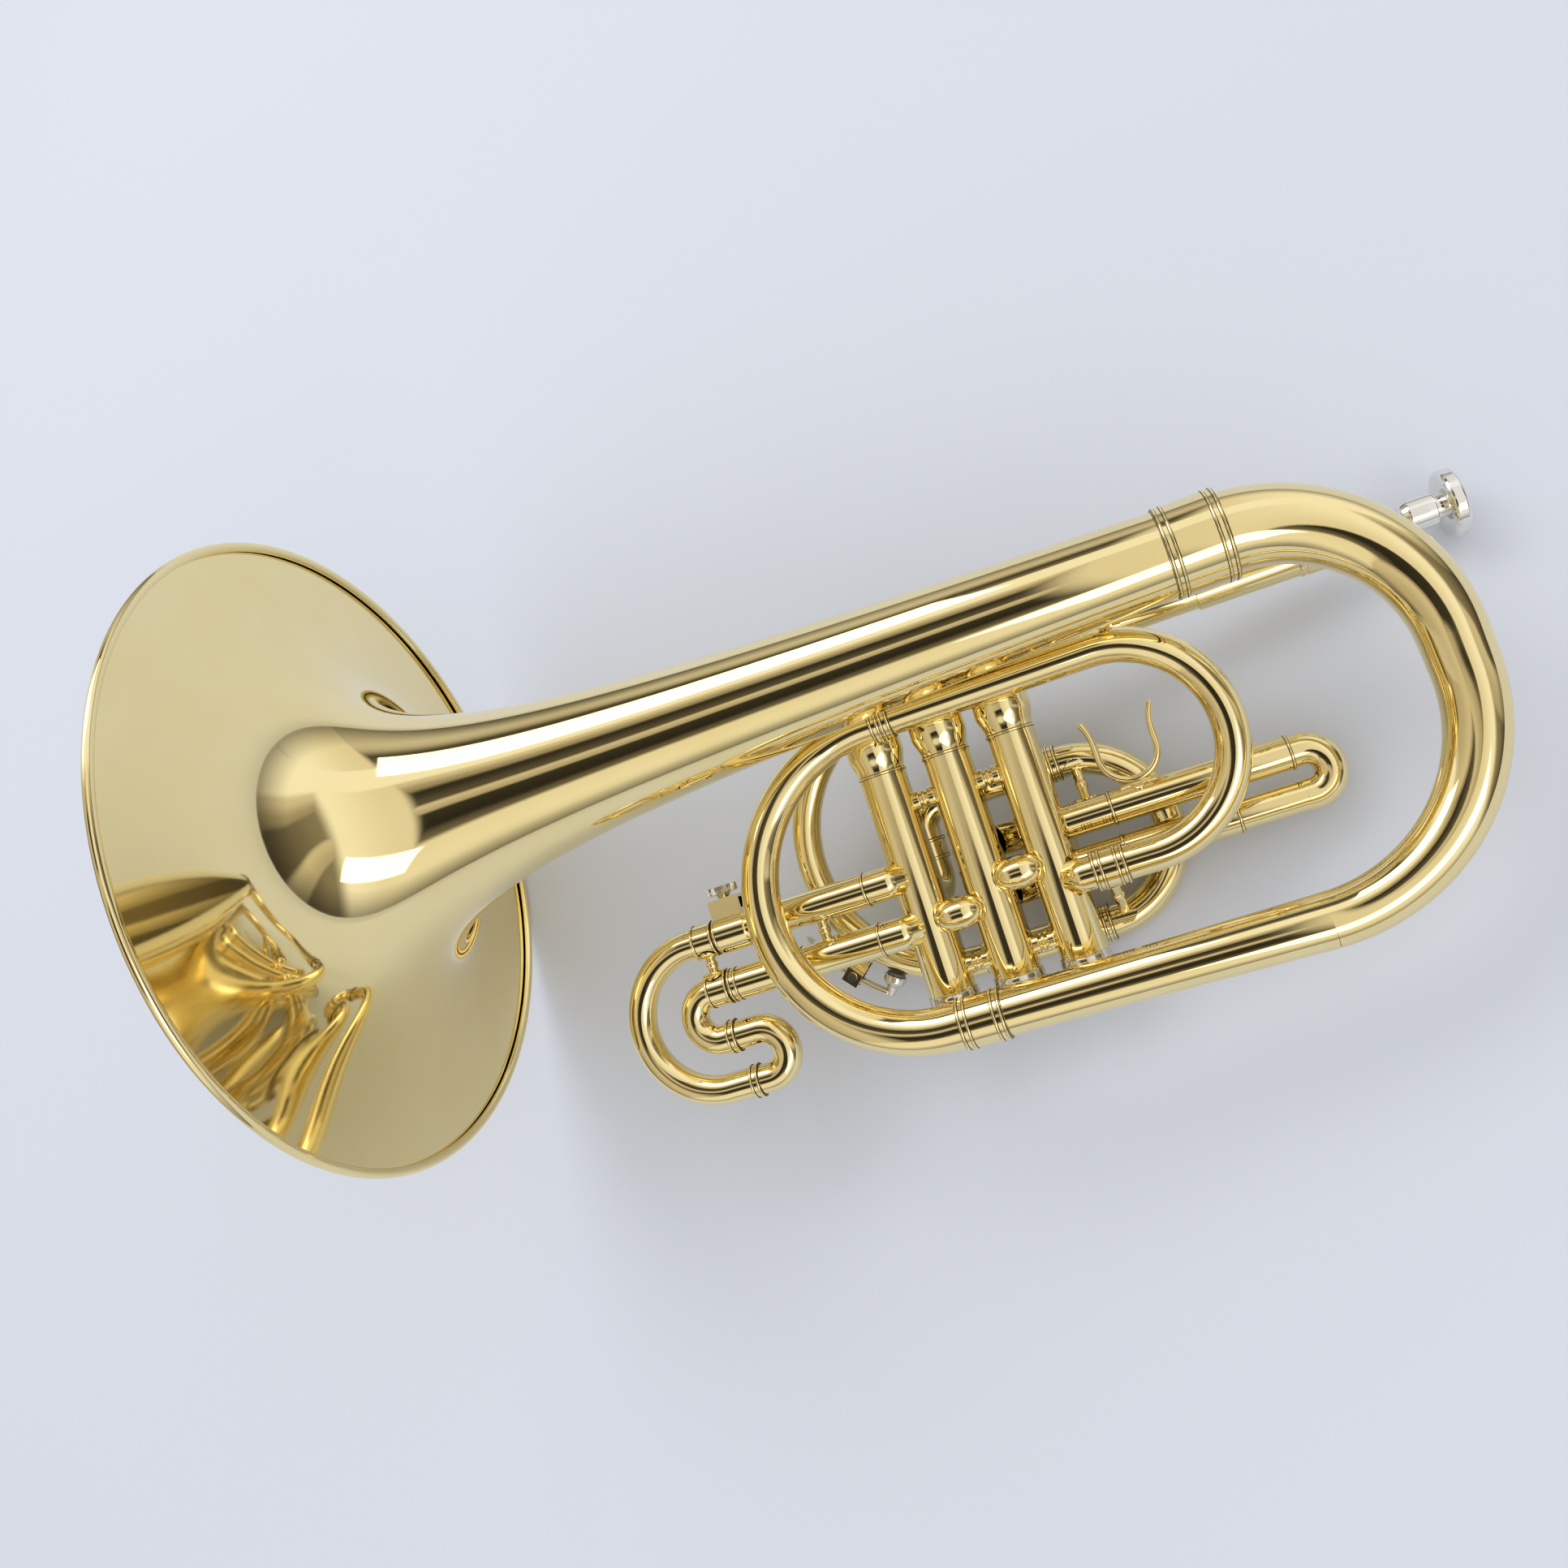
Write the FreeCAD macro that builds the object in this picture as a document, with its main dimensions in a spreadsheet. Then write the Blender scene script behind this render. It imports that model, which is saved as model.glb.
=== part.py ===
"""Mellophone: a forward-facing brass horn with three piston valves, lying on its right side.

Lengths are in millimetres. Every piece is drawn in the instrument's own axes: X runs along the
bell's axis from the mouth to the tail, Y points to the valve tops and Z to the player's left, which
is up when the horn lies down. The horn then rests on the bell's rim, the main crook and the
mouthpiece's rim, and one common placement lays all the pieces down on them.

The air runs from the mouthpiece through the leadpipe, the main slide, the main crook and the return
tube into valve 3, on through valves 2 and 1, and then through the rear bow, the top tube, the front
bow, the lower tube and the tail bow into the bell.
"""
import FreeCAD, Part
import math
import os
import re

import Sketcher
from FreeCAD import Matrix, Placement, Rotation, Vector

doc = FreeCAD.newDocument("Mellophone")
sheet = doc.addObject("Spreadsheet::Sheet", "Sizes")

SIZES = {
    "Bell": {
        "bell_mouth_radius": 133.5,
        "bell_length": 347.0,
        "flare_start": 4.8,
        "flare_power": 0.484,
        "stem_narrowing": 0.8,
        "sheet_wall": 0.6,
        "bead_radius": 1.9,
    },
    "Ferrules and solder joints": {
        "ferrule_wall": 0.75,
        "ring_height": 0.45,
        "ring_width": 0.9,
        "ring_pitch": 2.6,
        "solder_gap": 0.03,
        "stem_ferrule_length": 22.0,
        "stem_ferrule_lap": 3.0,
        "lower_ferrule_length": 17.0,
        "front_ferrule_length": 8.5,
        "branch_ferrule_length": 13.0,
        "crook_ferrule_length": 9.0,
        "return_ferrule_length": 9.0,
    },
    "Tail bow and lower tube": {
        "tail_lead": 17.5,
        "tail_upper_bend": 58.0,
        "tail_straight": 10.7,
        "tail_lower_bend": 68.5,
        "stem_step": 1.0,
        "tail_end_radius": 9.8,
        "tail_taper_power": 1.8,
        "lower_tube_end_radius": 8.5,
    },
    "Front bow, top tube and rear bow": {
        "front_bow_x": 218.5,
        "lower_joint_x": 230.5,
        "top_joint_x": 225.0,
        "top_tube_angle": 42.8,
        "top_tube_gap": 0.1,
        "top_tube_radius": 6.75,
        "rear_bow_x": 307.5,
        "branch_y": -100.5,
        "branch_z": -28.5,
        "branch_joint_x": 289.5,
        "knuckle_reach": 9.8,
        "tube_wall": 0.6,
    },
    "Valves": {
        "valve_1_x": 269.3,
        "valve_pitch": 26.85,
        "valve_z": -38.5,
        "casing_radius": 9.7,
        "casing_bore": 8.9,
        "casing_bottom": -129.4,
        "casing_ring_y": -40.0,
        "casing_top": -9.0,
        "baluster_radius": 11.5,
        "baluster_bore": 10.4,
        "baluster_swell": 8.5,
        "piston_clearance": 0.03,
        "piston_length": 67.5,
        "piston_wall": 0.9,
        "valve_travel": 16.0,
        "bottom_space": 1.2,
        "valve_stem_radius": 2.5,
        "collar_radius": 7.6,
        "collar_thickness": 3.0,
        "guide_thickness": 2.0,
        "spring_radius": 6.4,
        "spring_wire": 0.8,
        "cap_height": 7.0,
        "cap_radius": 12.4,
        "cap_spigot": 4.0,
        "cap_wall": 2.0,
        "stem_clearance": 0.3,
        "felt_thickness": 2.0,
        "button_radius": 7.5,
        "button_thickness": 4.0,
        "button_lift": 4.0,
        "bottom_band_height": 4.0,
        "bottom_band_radius": 10.3,
        "bottom_knurl_height": 2.6,
        "bottom_knurl_radius": 11.2,
        "bottom_dome_height": 2.0,
        "port_radius": 5.3,
        "knuckle_radius": 6.5,
        "knuckle_wall": 0.7,
        "crossover_3_2_y": -100.6,
        "crossover_2_1_y": -92.3,
        "crossover_lift": 9.2,
        "crossover_radius": 6.7,
        "entry_y": -92.0,
        "brace_radius": 4.0,
        "brace_waist": 2.7,
        "upper_brace_y": -54.0,
        "lower_brace_y": -121.2,
    },
    "Slide tubes": {
        "slide_radius": 5.9,
        "slide_clearance": 0.05,
        "sleeve_wall": 0.6,
        "bow_radius": 6.2,
        "slide_seat": 0.3,
        "post_radius": 2.1,
        "saddle_length": 11.0,
        "saddle_wall": 0.5,
    },
    "Mouthpiece, leadpipe and main slide": {
        "lead_y": -9.4,
        "far_z": -57.5,
        "leg_spacing": 113.6,
        "main_bow_x": 228.0,
        "main_upper_end": 296.0,
        "main_leg": 52.0,
        "lower_leg": 40.0,
        "leadpipe_radius": 6.75,
        "leadpipe_end_radius": 6.3,
        "leadpipe_wall": 0.8,
        "leadpipe_insertion": 26.0,
        "receiver_start": 354.0,
        "receiver_length": 50.0,
        "receiver_radius": 7.6,
        "receiver_collar": 10.0,
        "receiver_collar_radius": 8.3,
        "shank_radius": 4.7,
        "shank_clearance": 0.03,
        "shank_insertion": 22.0,
        "mouthpiece_exposed": 52.0,
        "rim_radius": 13.3,
        "rim_thickness": 6.6,
        "mouthpiece_waist": 3.7,
        "mouthpiece_waist_length": 3.0,
        "cup_barrel_radius": 6.7,
        "cup_barrel_length": 8.0,
        "mouthpiece_throat": 2.2,
        "crook_x": 282.5,
        "crook_upper_y": -56.5,
        "crook_radius": 6.4,
        "return_x": 222.0,
        "return_bend": 10.5,
        "return_radius": 6.1,
        "return_joint_y": -74.5,
        "elbow_bend": 8.0,
    },
    "Water key": {
        "key_pivot_angle": 221.9,
        "key_pad_angle": 235.2,
        "key_tail_angle": 203.0,
        "key_reach": 15.7,
        "key_arm_radius": 1.6,
        "key_barrel_radius": 2.9,
        "key_barrel_length": 5.0,
        "key_pin_radius": 1.1,
        "key_ear": 1.6,
        "key_saddle_width": 7.0,
        "key_pad_radius": 3.8,
        "key_pad_thickness": 2.6,
        "key_cup_radius": 4.8,
        "key_running_gap": 0.3,
    },
    "Third slide": {
        "third_upper_y": -81.3,
        "third_lower_y": -101.8,
        "third_z": -29.0,
        "third_knuckle_x": 205.7,
        "third_sleeve_x": 197.5,
        "third_sleeve_end": 131.5,
        "third_ferrule_end": 121.5,
        "third_leg": 55.0,
        "third_bow_x": 119.0,
        "small_bend": 9.75,
        "return_right_x": 136.5,
        "return_left_x": 122.0,
        "bottom_joint_x": 130.6,
        "middle_joint_x": 126.5,
        "joint_ring_length": 4.0,
        "third_post_x": 175.5,
        "third_moving_post_x": 125.8,
        "lyre_clamp_length": 12.5,
        "lyre_block_height": 7.6,
        "lyre_block_width": 9.0,
        "lyre_socket": 4.4,
        "lyre_screw_radius": 1.5,
        "lyre_head_radius": 6.2,
        "lyre_head_thickness": 3.4,
        "lyre_neck": 1.6,
    },
    "First slide": {
        "first_upper_y": -80.2,
        "first_lower_y": -97.2,
        "first_z": -42.75,
        "first_port_end": 296.0,
        "first_sleeve_end": 341.0,
        "first_bow_x": 369.0,
        "first_leg": 84.0,
        "first_post_x": 315.0,
        "thumb_x": 309.5,
        "thumb_bend": 11.5,
        "thumb_height": 27.5,
        "thumb_wire": 1.35,
    },
    "Second slide": {
        "second_upper_y": -79.0,
        "second_lower_y": -99.5,
        "second_angle": 42.0,
        "second_sleeve_reach": 26.5,
        "second_bow_reach": 31.0,
        "second_leg": 13.0,
    },
    "Braces": {
        "crook_brace_gap": 0.3,
        "stem_brace_x": 318.0,
        "stem_brace_radius": 3.2,
        "brace_flange_radius": 6.0,
        "brace_flange_thickness": 1.2,
    },
}

row = 1
for heading, group in SIZES.items():
    sheet.set("A%d" % row, heading)
    row += 1
    for alias, number in group.items():
        sheet.set("A%d" % row, alias.replace("_", " "))
        sheet.set("B%d" % row, str(number))
        sheet.setAlias("B%d" % row, alias)
        row += 1
doc.recompute()
ALIASES = {alias for group in SIZES.values() for alias in group}


def bound(text):
    """The expression with each size's name pointed at its cell."""
    return re.sub(r"[a-z]\w*", lambda w: ("Sizes." if w.group() in ALIASES else "") + w.group(), str(text))


def value(text):
    """The expression's number, for directions and for shapes that are worked out point by point."""
    number = sheet.evalExpression(bound(text))
    return float(getattr(number, "Value", number))


def point(coordinates):
    return Vector(*[value(c) for c in coordinates])


nodes = {}
places = {}


def node(label, item, place=None):
    """Keeps item as the sub-part called label, drawn in axes that place puts on the instrument."""
    item.Label = label
    nodes[label] = item
    places[label] = place or Placement()
    return item


def aim(start, along, upright=None):
    """The placement that puts the origin at start and turns X to the direction along."""
    x = Vector(*along).normalize()
    y = Vector(*upright) if upright else None
    if y is None:
        return Placement(point(start), Rotation(Vector(1, 0, 0), x))
    z = x.cross(y).normalize()
    y = z.cross(x)
    turn = Matrix(x.x, y.x, z.x, 0, x.y, y.y, z.y, 0, x.z, y.z, z.z, 0, 0, 0, 0, 1)
    return Placement(point(start), Placement(turn).Rotation)


def seat(item, place):
    """Sets a primitive's turn, and binds its position to the sizes."""
    start, rotation = place
    item.Placement = Placement(point(start), rotation)
    for axis, coordinate in zip("xyz", start):
        item.setExpression("Placement.Base." + axis, bound(coordinate))
    return item


def bind(item, **sizes):
    for name, text in sizes.items():
        item.setExpression(name, bound(text))
    return item


def cylinder(name, radius, length, start, along=(1, 0, 0)):
    item = bind(doc.addObject("Part::Cylinder", name), Radius=radius, Height=length)
    return seat(item, (start, Rotation(Vector(0, 0, 1), Vector(*along))))


def ball(name, radius, centre):
    item = bind(doc.addObject("Part::Sphere", name), Radius=radius)
    return seat(item, (centre, Rotation()))


def block(name, length, width, height, corner):
    """A box from its low corner, with its sides along X, Y and Z."""
    item = bind(doc.addObject("Part::Box", name), Length=length, Width=width, Height=height)
    return seat(item, (corner, Rotation()))


def ring_arc(name, bend, radius, centre, first, sweep):
    """Part of a torus in the XY plane: sweep degrees on from the direction first."""
    item = bind(doc.addObject("Part::Torus", name), Radius1=bend, Radius2=radius, Angle3=sweep)
    return seat(item, (centre, Rotation(Vector(0, 0, 1), value(first))))


def union(name, parts):
    if len(parts) == 1:
        return parts[0]
    item = doc.addObject("Part::MultiFuse", name)
    item.Shapes = parts
    item.Refine = True
    return item


def difference(name, base, cutters):
    item = doc.addObject("Part::Cut", name)
    item.Base = base
    item.Tool = union(name + "_cutter", cutters)
    return item


def overlap(name, first, second):
    item = doc.addObject("Part::Common", name)
    item.Base = first
    item.Tool = second
    return item


def run(start, along, length, ends=""):
    """A straight stretch of a tube. ends names its open ends, where the bore runs on: s, e or both."""
    def make(name, radius, over):
        back = over if "s" in ends else 0
        ahead = over if "e" in ends else 0
        direction = Vector(*along).normalize()
        moved = ["%s - %g * %.9f" % (c, back, d) if back and d else c for c, d in zip(start, direction)]
        return cylinder(name, radius, "%s + %g" % (length, back + ahead), moved, along)
    return make


def turn(centre, bend, first, sweep):
    """A bent stretch of a tube, in the XY plane."""
    def make(name, radius, over):
        return ring_arc(name, bend, radius, centre, first, sweep)
    return make


def elbow_ball(centre):
    """The round corner where two straight stretches meet."""
    def make(name, radius, over):
        return ball(name, radius, centre)
    return make


def cornered(name, outside, bore, course, cutters=()):
    """A hollow piece whose stretches meet at round corners: the stretches are joined, then bored."""
    outer = [make("%s_outside_%d" % (name, i), outside, 0) for i, make in enumerate(course)]
    inner = [make("%s_bore_%d" % (name, i), bore, 2) for i, make in enumerate(course)]
    solid = union(name + "_outside", outer)
    return difference(name + "_tube", solid, inner + list(cutters))


def pipe(name, outside, bore, course, cutters=()):
    """A tube of constant section along tangent stretches: each is bored, then they are joined."""
    stretches = []
    for i, make in enumerate(course):
        outer = make("%s_outside_%d" % (name, i), outside, 0)
        inner = make("%s_bore_%d" % (name, i), bore, 0)
        stretches.append(difference("%s_stretch_%d" % (name, i), outer, [inner]))
    whole = union(name + "_pipe", stretches)
    return difference(name + "_tube", whole, list(cutters)) if cutters else whole


def bow(name, bend, outside, bore, upper_leg, lower_leg):
    """A half circle about the origin, bulging to +X, with legs that run back along -X from its ends."""
    course = [turn(("0", "0", "0"), bend, "-90", "180")]
    for side, leg in (("+", upper_leg), ("-", lower_leg)):
        if leg:
            course.append(run(("-(%s)" % leg, "%s(%s)" % (side, bend), "0"), (1, 0, 0), leg))
    return pipe(name, outside, bore, course)


LEFTWARD = Rotation(Vector(0, 1, 0), 180)


def turned(name, outline):
    """A body of revolution about X. The outline's points are (distance along X, radius)."""
    body = doc.addObject("PartDesign::Body", name)
    profile = body.newObject("Sketcher::SketchObject", name + "_outline")
    xy_plane = [f for f in body.Origin.OriginFeatures if f.Role == "XY_Plane"][0]
    profile.AttachmentSupport = (xy_plane, [""])
    profile.MapMode = "FlatFace"
    corners = [Vector(value(x), value(r), 0) for x, r in outline]
    count = len(corners)
    for i in range(count):
        profile.addGeometry(Part.LineSegment(corners[i], corners[(i + 1) % count]), False)
    for i in range(count):
        profile.addConstraint(Sketcher.Constraint("Coincident", i, 2, (i + 1) % count, 1))
    for i, texts in enumerate(outline):
        for kind, text, number in zip(("DistanceX", "DistanceY"), texts, corners[i]):
            index = profile.addConstraint(Sketcher.Constraint(kind, -1, 1, i, 1, number))
            profile.setExpression("Constraints[%d]" % index, bound(text))
    revolution = body.newObject("PartDesign::Revolution", name + "_revolution")
    revolution.Profile = profile
    revolution.ReferenceAxis = (profile, ["H_Axis"])
    revolution.Angle = 360
    profile.Visibility = False
    body.Tip = revolution
    return body


def sleeve(name, length, bore, outside, rings=()):
    """A short tube along X with raised rings, each placed by where it starts."""
    outline = [("0", bore), ("0", outside)]
    for at in rings:
        outline.append((at, outside))
        outline.append((at, "%s + ring_height" % outside))
        outline.append(("%s + ring_width" % at, "%s + ring_height" % outside))
        outline.append(("%s + ring_width" % at, outside))
    outline += [(length, outside), (length, bore)]
    return turned(name, outline)


def end_rings(length):
    """Where the four rings of a ferrule start: a pair at each end."""
    return ("0.4", "0.4 + ring_pitch", "%s - ring_pitch - ring_width - 0.4" % length,
            "%s - ring_width - 0.4" % length)


def feature(name, shape):
    item = doc.addObject("Part::Feature", name)
    item.Shape = shape
    return item


def several(name, item, spots):
    """Copies of one item at several placements, as one object of separate solids."""
    copies = []
    for i, spot in enumerate(spots):
        link = feature("%s_%d" % (name, i), item.Shape.copy())
        link.Placement = spot.multiply(item.Placement)
        copies.append(link)
    group = doc.addObject("Part::Compound", name + "_set")
    group.Links = copies
    return group


def lofted(stations):
    """A solid through circles. Each station is (centre, direction, binormal, radius)."""
    wires = []
    for centre, along, across, radius in stations:
        side = across.cross(along)
        turn_matrix = Matrix(side.x, across.x, along.x, centre.x, side.y, across.y, along.y, centre.y,
                             side.z, across.z, along.z, centre.z, 0, 0, 0, 1)
        circle = Part.Wire(Part.makeCircle(radius))
        circle.Placement = Placement(turn_matrix)
        wires.append(circle)
    return Part.makeLoft(wires, True, False)


# Bell. The sheet's outer radius falls as a power of the distance from the mouth, and a little more
# towards the stem's end: r(x) = mouth * (start / (start + x)) ^ power - narrowing * (x / length) ^ 4.
mouth = value("bell_mouth_radius")
length = value("bell_length")
wall = value("sheet_wall")
bead = value("bead_radius")


def bell_radius(x):
    start = value("flare_start")
    flare = mouth * (start / (start + x)) ** value("flare_power")
    return flare - value("stem_narrowing") * (x / length) ** 4


def bell_slope(x):
    return (bell_radius(x + 1e-4) - bell_radius(x - 1e-4)) / 2e-4


first_x = value("flare_start * ((bell_mouth_radius / (bell_mouth_radius - bead_radius)) ^ (1 / flare_power) - 1)")
stations = [first_x + (length - first_x) * (i / 30) ** 2.6 for i in range(31)]
outer_points = [Vector(x, bell_radius(x), 0) for x in stations]
inner_points = []
for x in stations:
    normal = Vector(-bell_slope(x), 1, 0).normalize()
    inner_points.append(Vector(x, bell_radius(x), 0) - normal * wall)
inner_points[-1] = Vector(length, bell_radius(length) - wall, 0)
outer_curve = Part.BSplineCurve()
outer_curve.interpolate(outer_points)
inner_curve = Part.BSplineCurve()
inner_curve.interpolate(inner_points)
outline = Part.Wire([
    outer_curve.toShape(),
    Part.makeLine(outer_points[-1], inner_points[-1]),
    inner_curve.toShape(),
    Part.makeLine(inner_points[0], outer_points[0]),
])
sheet_metal = Part.Face(outline).revolve(Vector(0, 0, 0), Vector(1, 0, 0), 360)
bead_x = inner_points[0].x + bead
rim_bead = Part.makeTorus(mouth - bead, bead, Vector(bead_x, 0, 0), Vector(1, 0, 0))
node("bell", feature("bell", sheet_metal.fuse(rim_bead)))

# The ferrule laps over the stem's end and the start of the tail bow, which is a step thinner.


def stem_at(x):
    """The stem's outer radius at x, as an expression."""
    return ("(bell_mouth_radius * (flare_start / (flare_start + %s)) ^ flare_power"
            " - stem_narrowing * (%s / bell_length) ^ 4)" % (x, x))


STEM_END = stem_at("(bell_length - stem_ferrule_lap)")
TAIL_START = "(%s - stem_step)" % STEM_END
outside = STEM_END + " + ferrule_wall + solder_gap"
rings = end_rings("stem_ferrule_length")
outline = [("0", STEM_END + " + solder_gap"), ("0", outside)]
for at in rings:
    outline += [(at, outside), (at, outside + " + ring_height"),
                (at + " + ring_width", outside + " + ring_height"), (at + " + ring_width", outside)]
outline += [("stem_ferrule_length", outside), ("stem_ferrule_length", TAIL_START + " + solder_gap"),
            ("stem_ferrule_lap + 0.1", TAIL_START + " + solder_gap"),
            ("stem_ferrule_lap + 0.1", STEM_END + " + solder_gap")]
node("stem_ferrule", turned("stem_ferrule", outline),
     aim(("bell_length - stem_ferrule_lap", "0", "0"), (1, 0, 0)))

# Tail bow: a quarter circle down, a short straight and a wider quarter circle back to the front. Its
# radius falls as a power of the way still to go.
tail_x = value("bell_length + tail_lead")
upper = value("tail_upper_bend")
straight = value("tail_straight")
lower = value("tail_lower_bend")
LOWER_TUBE_Y = "-(tail_upper_bend + tail_straight + tail_lower_bend)"
TAIL_END_X = "(bell_length + tail_lead + tail_upper_bend - tail_lower_bend)"
course = [(Vector(tail_x, 0, 0), Vector(1, 0, 0), 0.0)]
for i in range(1, 10):
    a = math.radians(90 - 10 * i)
    centre = Vector(tail_x, -upper, 0)
    course.append((centre + Vector(math.cos(a), math.sin(a), 0) * upper,
                   Vector(math.sin(a), -math.cos(a), 0), upper * (math.pi / 2 - a)))
for i in range(10):
    a = math.radians(-10 * i)
    centre = Vector(tail_x + upper - lower, -upper - straight, 0)
    course.append((centre + Vector(math.cos(a), math.sin(a), 0) * lower,
                   Vector(math.sin(a), -math.cos(a), 0), upper * math.pi / 2 + straight - lower * a))
whole = course[-1][2]
start_radius = value(TAIL_START)
end_radius = value("tail_end_radius")
stations = [(Vector(value("bell_length + 0.1"), 0, 0), Vector(1, 0, 0), Vector(0, 0, 1), start_radius)]
for at, along, way in course:
    left = 1 - way / whole
    radius = end_radius + (start_radius - end_radius) * left ** value("tail_taper_power")
    stations.append((at, along, Vector(0, 0, 1), radius))
tail_outer = lofted(stations[1:])
tail_inner = lofted([(c, d, b, r - wall) for c, d, b, r in stations[1:]])
lead = stations[0][0]
lead_length = tail_x - lead.x
tail_outer = tail_outer.fuse(Part.makeCylinder(start_radius, lead_length, lead, Vector(1, 0, 0)))
tail_cut = Part.makeCylinder(start_radius - wall, lead_length + 1, lead - Vector(1, 0, 0), Vector(1, 0, 0))
tail_open = Part.makeCylinder(end_radius - wall, 1, course[-1][0], Vector(-1, 0, 0))
node("tail_bow", feature("tail_bow", tail_outer.cut(tail_inner.multiFuse([tail_cut, tail_open]))))

# Lower tube: a cone that runs forward from the tail bow, with a parallel end in the lower ferrule.
LOWER_LENGTH = "(%s - lower_joint_x)" % TAIL_END_X
LOWER_LAP = "(lower_ferrule_length / 2 + 1)"
node("lower_tube", turned("lower_tube", [
    ("0", "lower_tube_end_radius - tube_wall"), ("0", "lower_tube_end_radius"),
    (LOWER_LAP, "lower_tube_end_radius"), (LOWER_LENGTH, "tail_end_radius"),
    (LOWER_LENGTH, "tail_end_radius - tube_wall"), (LOWER_LAP, "lower_tube_end_radius - tube_wall"),
]), aim(("lower_joint_x", LOWER_TUBE_Y, "0"), (1, 0, 0)))
LOWER_BORE = "lower_tube_end_radius + solder_gap"
node("lower_ferrule", sleeve("lower_ferrule", "lower_ferrule_length", LOWER_BORE,
                             LOWER_BORE + " + ferrule_wall", end_rings("lower_ferrule_length")),
     aim(("lower_joint_x - lower_ferrule_length / 2", LOWER_TUBE_Y, "0"), (1, 0, 0)))

# The top tube lies beside the stem, so that its front ferrule just clears it.
TOP_REACH = ("(%s + top_tube_radius + solder_gap + ferrule_wall + ring_height + top_tube_gap)"
             % stem_at("(top_joint_x - front_ferrule_length / 2)"))
TOP_Y = "(-%s * cos(top_tube_angle * 1 deg))" % TOP_REACH
TOP_Z = "(-%s * sin(top_tube_angle * 1 deg))" % TOP_REACH

# Front bow: a half circle in a plane that leans from the lower tube up to the top tube. It narrows
# evenly along its way, and short parallel ends reach into the two ferrules.
lower_end = point(("front_bow_x", LOWER_TUBE_Y, "0"))
upper_end = point(("front_bow_x", TOP_Y, TOP_Z))
middle = (lower_end + upper_end) * 0.5
rise = upper_end - lower_end
bend = rise.Length / 2
rise.normalize()
across = Vector(-1, 0, 0).cross(rise)
big = value("lower_tube_end_radius")
small = value("top_tube_radius")
stations = []
for i in range(19):
    a = math.radians(-90 + 10 * i)
    at = middle + rise * (bend * math.sin(a)) + Vector(-1, 0, 0) * (bend * math.cos(a))
    along = rise * math.cos(a) + Vector(1, 0, 0) * math.sin(a)
    stations.append((at, along, across, big + (small - big) * i / 18))
outer = lofted(stations)
inner = lofted([(c, d, b, r - wall) for c, d, b, r in stations])
lead_in = value("lower_joint_x - front_bow_x")
lead_out = value("top_joint_x - front_bow_x")
x_axis = Vector(1, 0, 0)
outer = outer.multiFuse([Part.makeCylinder(big, lead_in, lower_end, x_axis),
                         Part.makeCylinder(small, lead_out, upper_end, x_axis)])
inner = inner.multiFuse([Part.makeCylinder(big - wall, lead_in + 1, lower_end, x_axis),
                         Part.makeCylinder(small - wall, lead_out + 1, upper_end, x_axis)])
node("front_bow", feature("front_bow", outer.cut(inner)))

TOP_BORE = "top_tube_radius + solder_gap"
front_ferrule = sleeve("front_ferrule", "front_ferrule_length", TOP_BORE, TOP_BORE + " + ferrule_wall",
                       end_rings("front_ferrule_length"))
front_ferrule.Placement = aim(("top_joint_x - front_ferrule_length / 2", TOP_Y, TOP_Z), x_axis)
branch_ferrule = sleeve("branch_ferrule", "branch_ferrule_length", TOP_BORE, TOP_BORE + " + ferrule_wall",
                        end_rings("branch_ferrule_length"))
branch_ferrule.Placement = aim(("branch_joint_x - branch_ferrule_length / 2", "branch_y", "branch_z"), x_axis)
ferrules = doc.addObject("Part::Compound", "top_tube_ferrules")
ferrules.Links = [front_ferrule, branch_ferrule]
node("top_tube_ferrules", ferrules)
node("top_tube", sleeve("top_tube", "rear_bow_x - top_joint_x", "top_tube_radius - tube_wall",
                        "top_tube_radius"), aim(("top_joint_x", TOP_Y, TOP_Z), x_axis))

# Rear bow: a half circle in a plane that leans from the top tube down to the branch into valve 1.
REAR_BEND = "(sqrt((%s - branch_y) ^ 2 + (%s - branch_z) ^ 2) / 2)" % (TOP_Y, TOP_Z)
rear_rise = point(("0", TOP_Y + " - branch_y", TOP_Z + " - branch_z"))
node("rear_bow", bow("rear_bow", REAR_BEND, "top_tube_radius", "top_tube_radius - tube_wall", "",
                     "rear_bow_x - branch_joint_x"),
     aim(("rear_bow_x", "(%s + branch_y) / 2" % TOP_Y, "(%s + branch_z) / 2" % TOP_Z), x_axis, rear_rise))


# Valves, counted from the player: valve 1 is nearest the mouthpiece.
def valve_x(number):
    return "(valve_1_x - %d * valve_pitch)" % (number - 1)


CASING_GAP = "casing_radius + solder_gap"
Y_AXIS = (0, 1, 0)


def casing_cutter(name, number):
    """The casing's cylinder, which pieces soldered to it are cut to."""
    start = (valve_x(number), "casing_bottom - 20", "valve_z")
    return cylinder(name, CASING_GAP, "casing_top - casing_bottom + 20", start, Y_AXIS)


def toward(number, x, z):
    """The direction, across the casing, from a valve's axis to a place beside it, and how far."""
    aside = Vector(value("%s - %s" % (x, valve_x(number))), 0, value("%s - valve_z" % z))
    reach = "sqrt((%s - %s) ^ 2 + (%s - valve_z) ^ 2)" % (x, valve_x(number), z)
    return aside, reach


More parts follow.
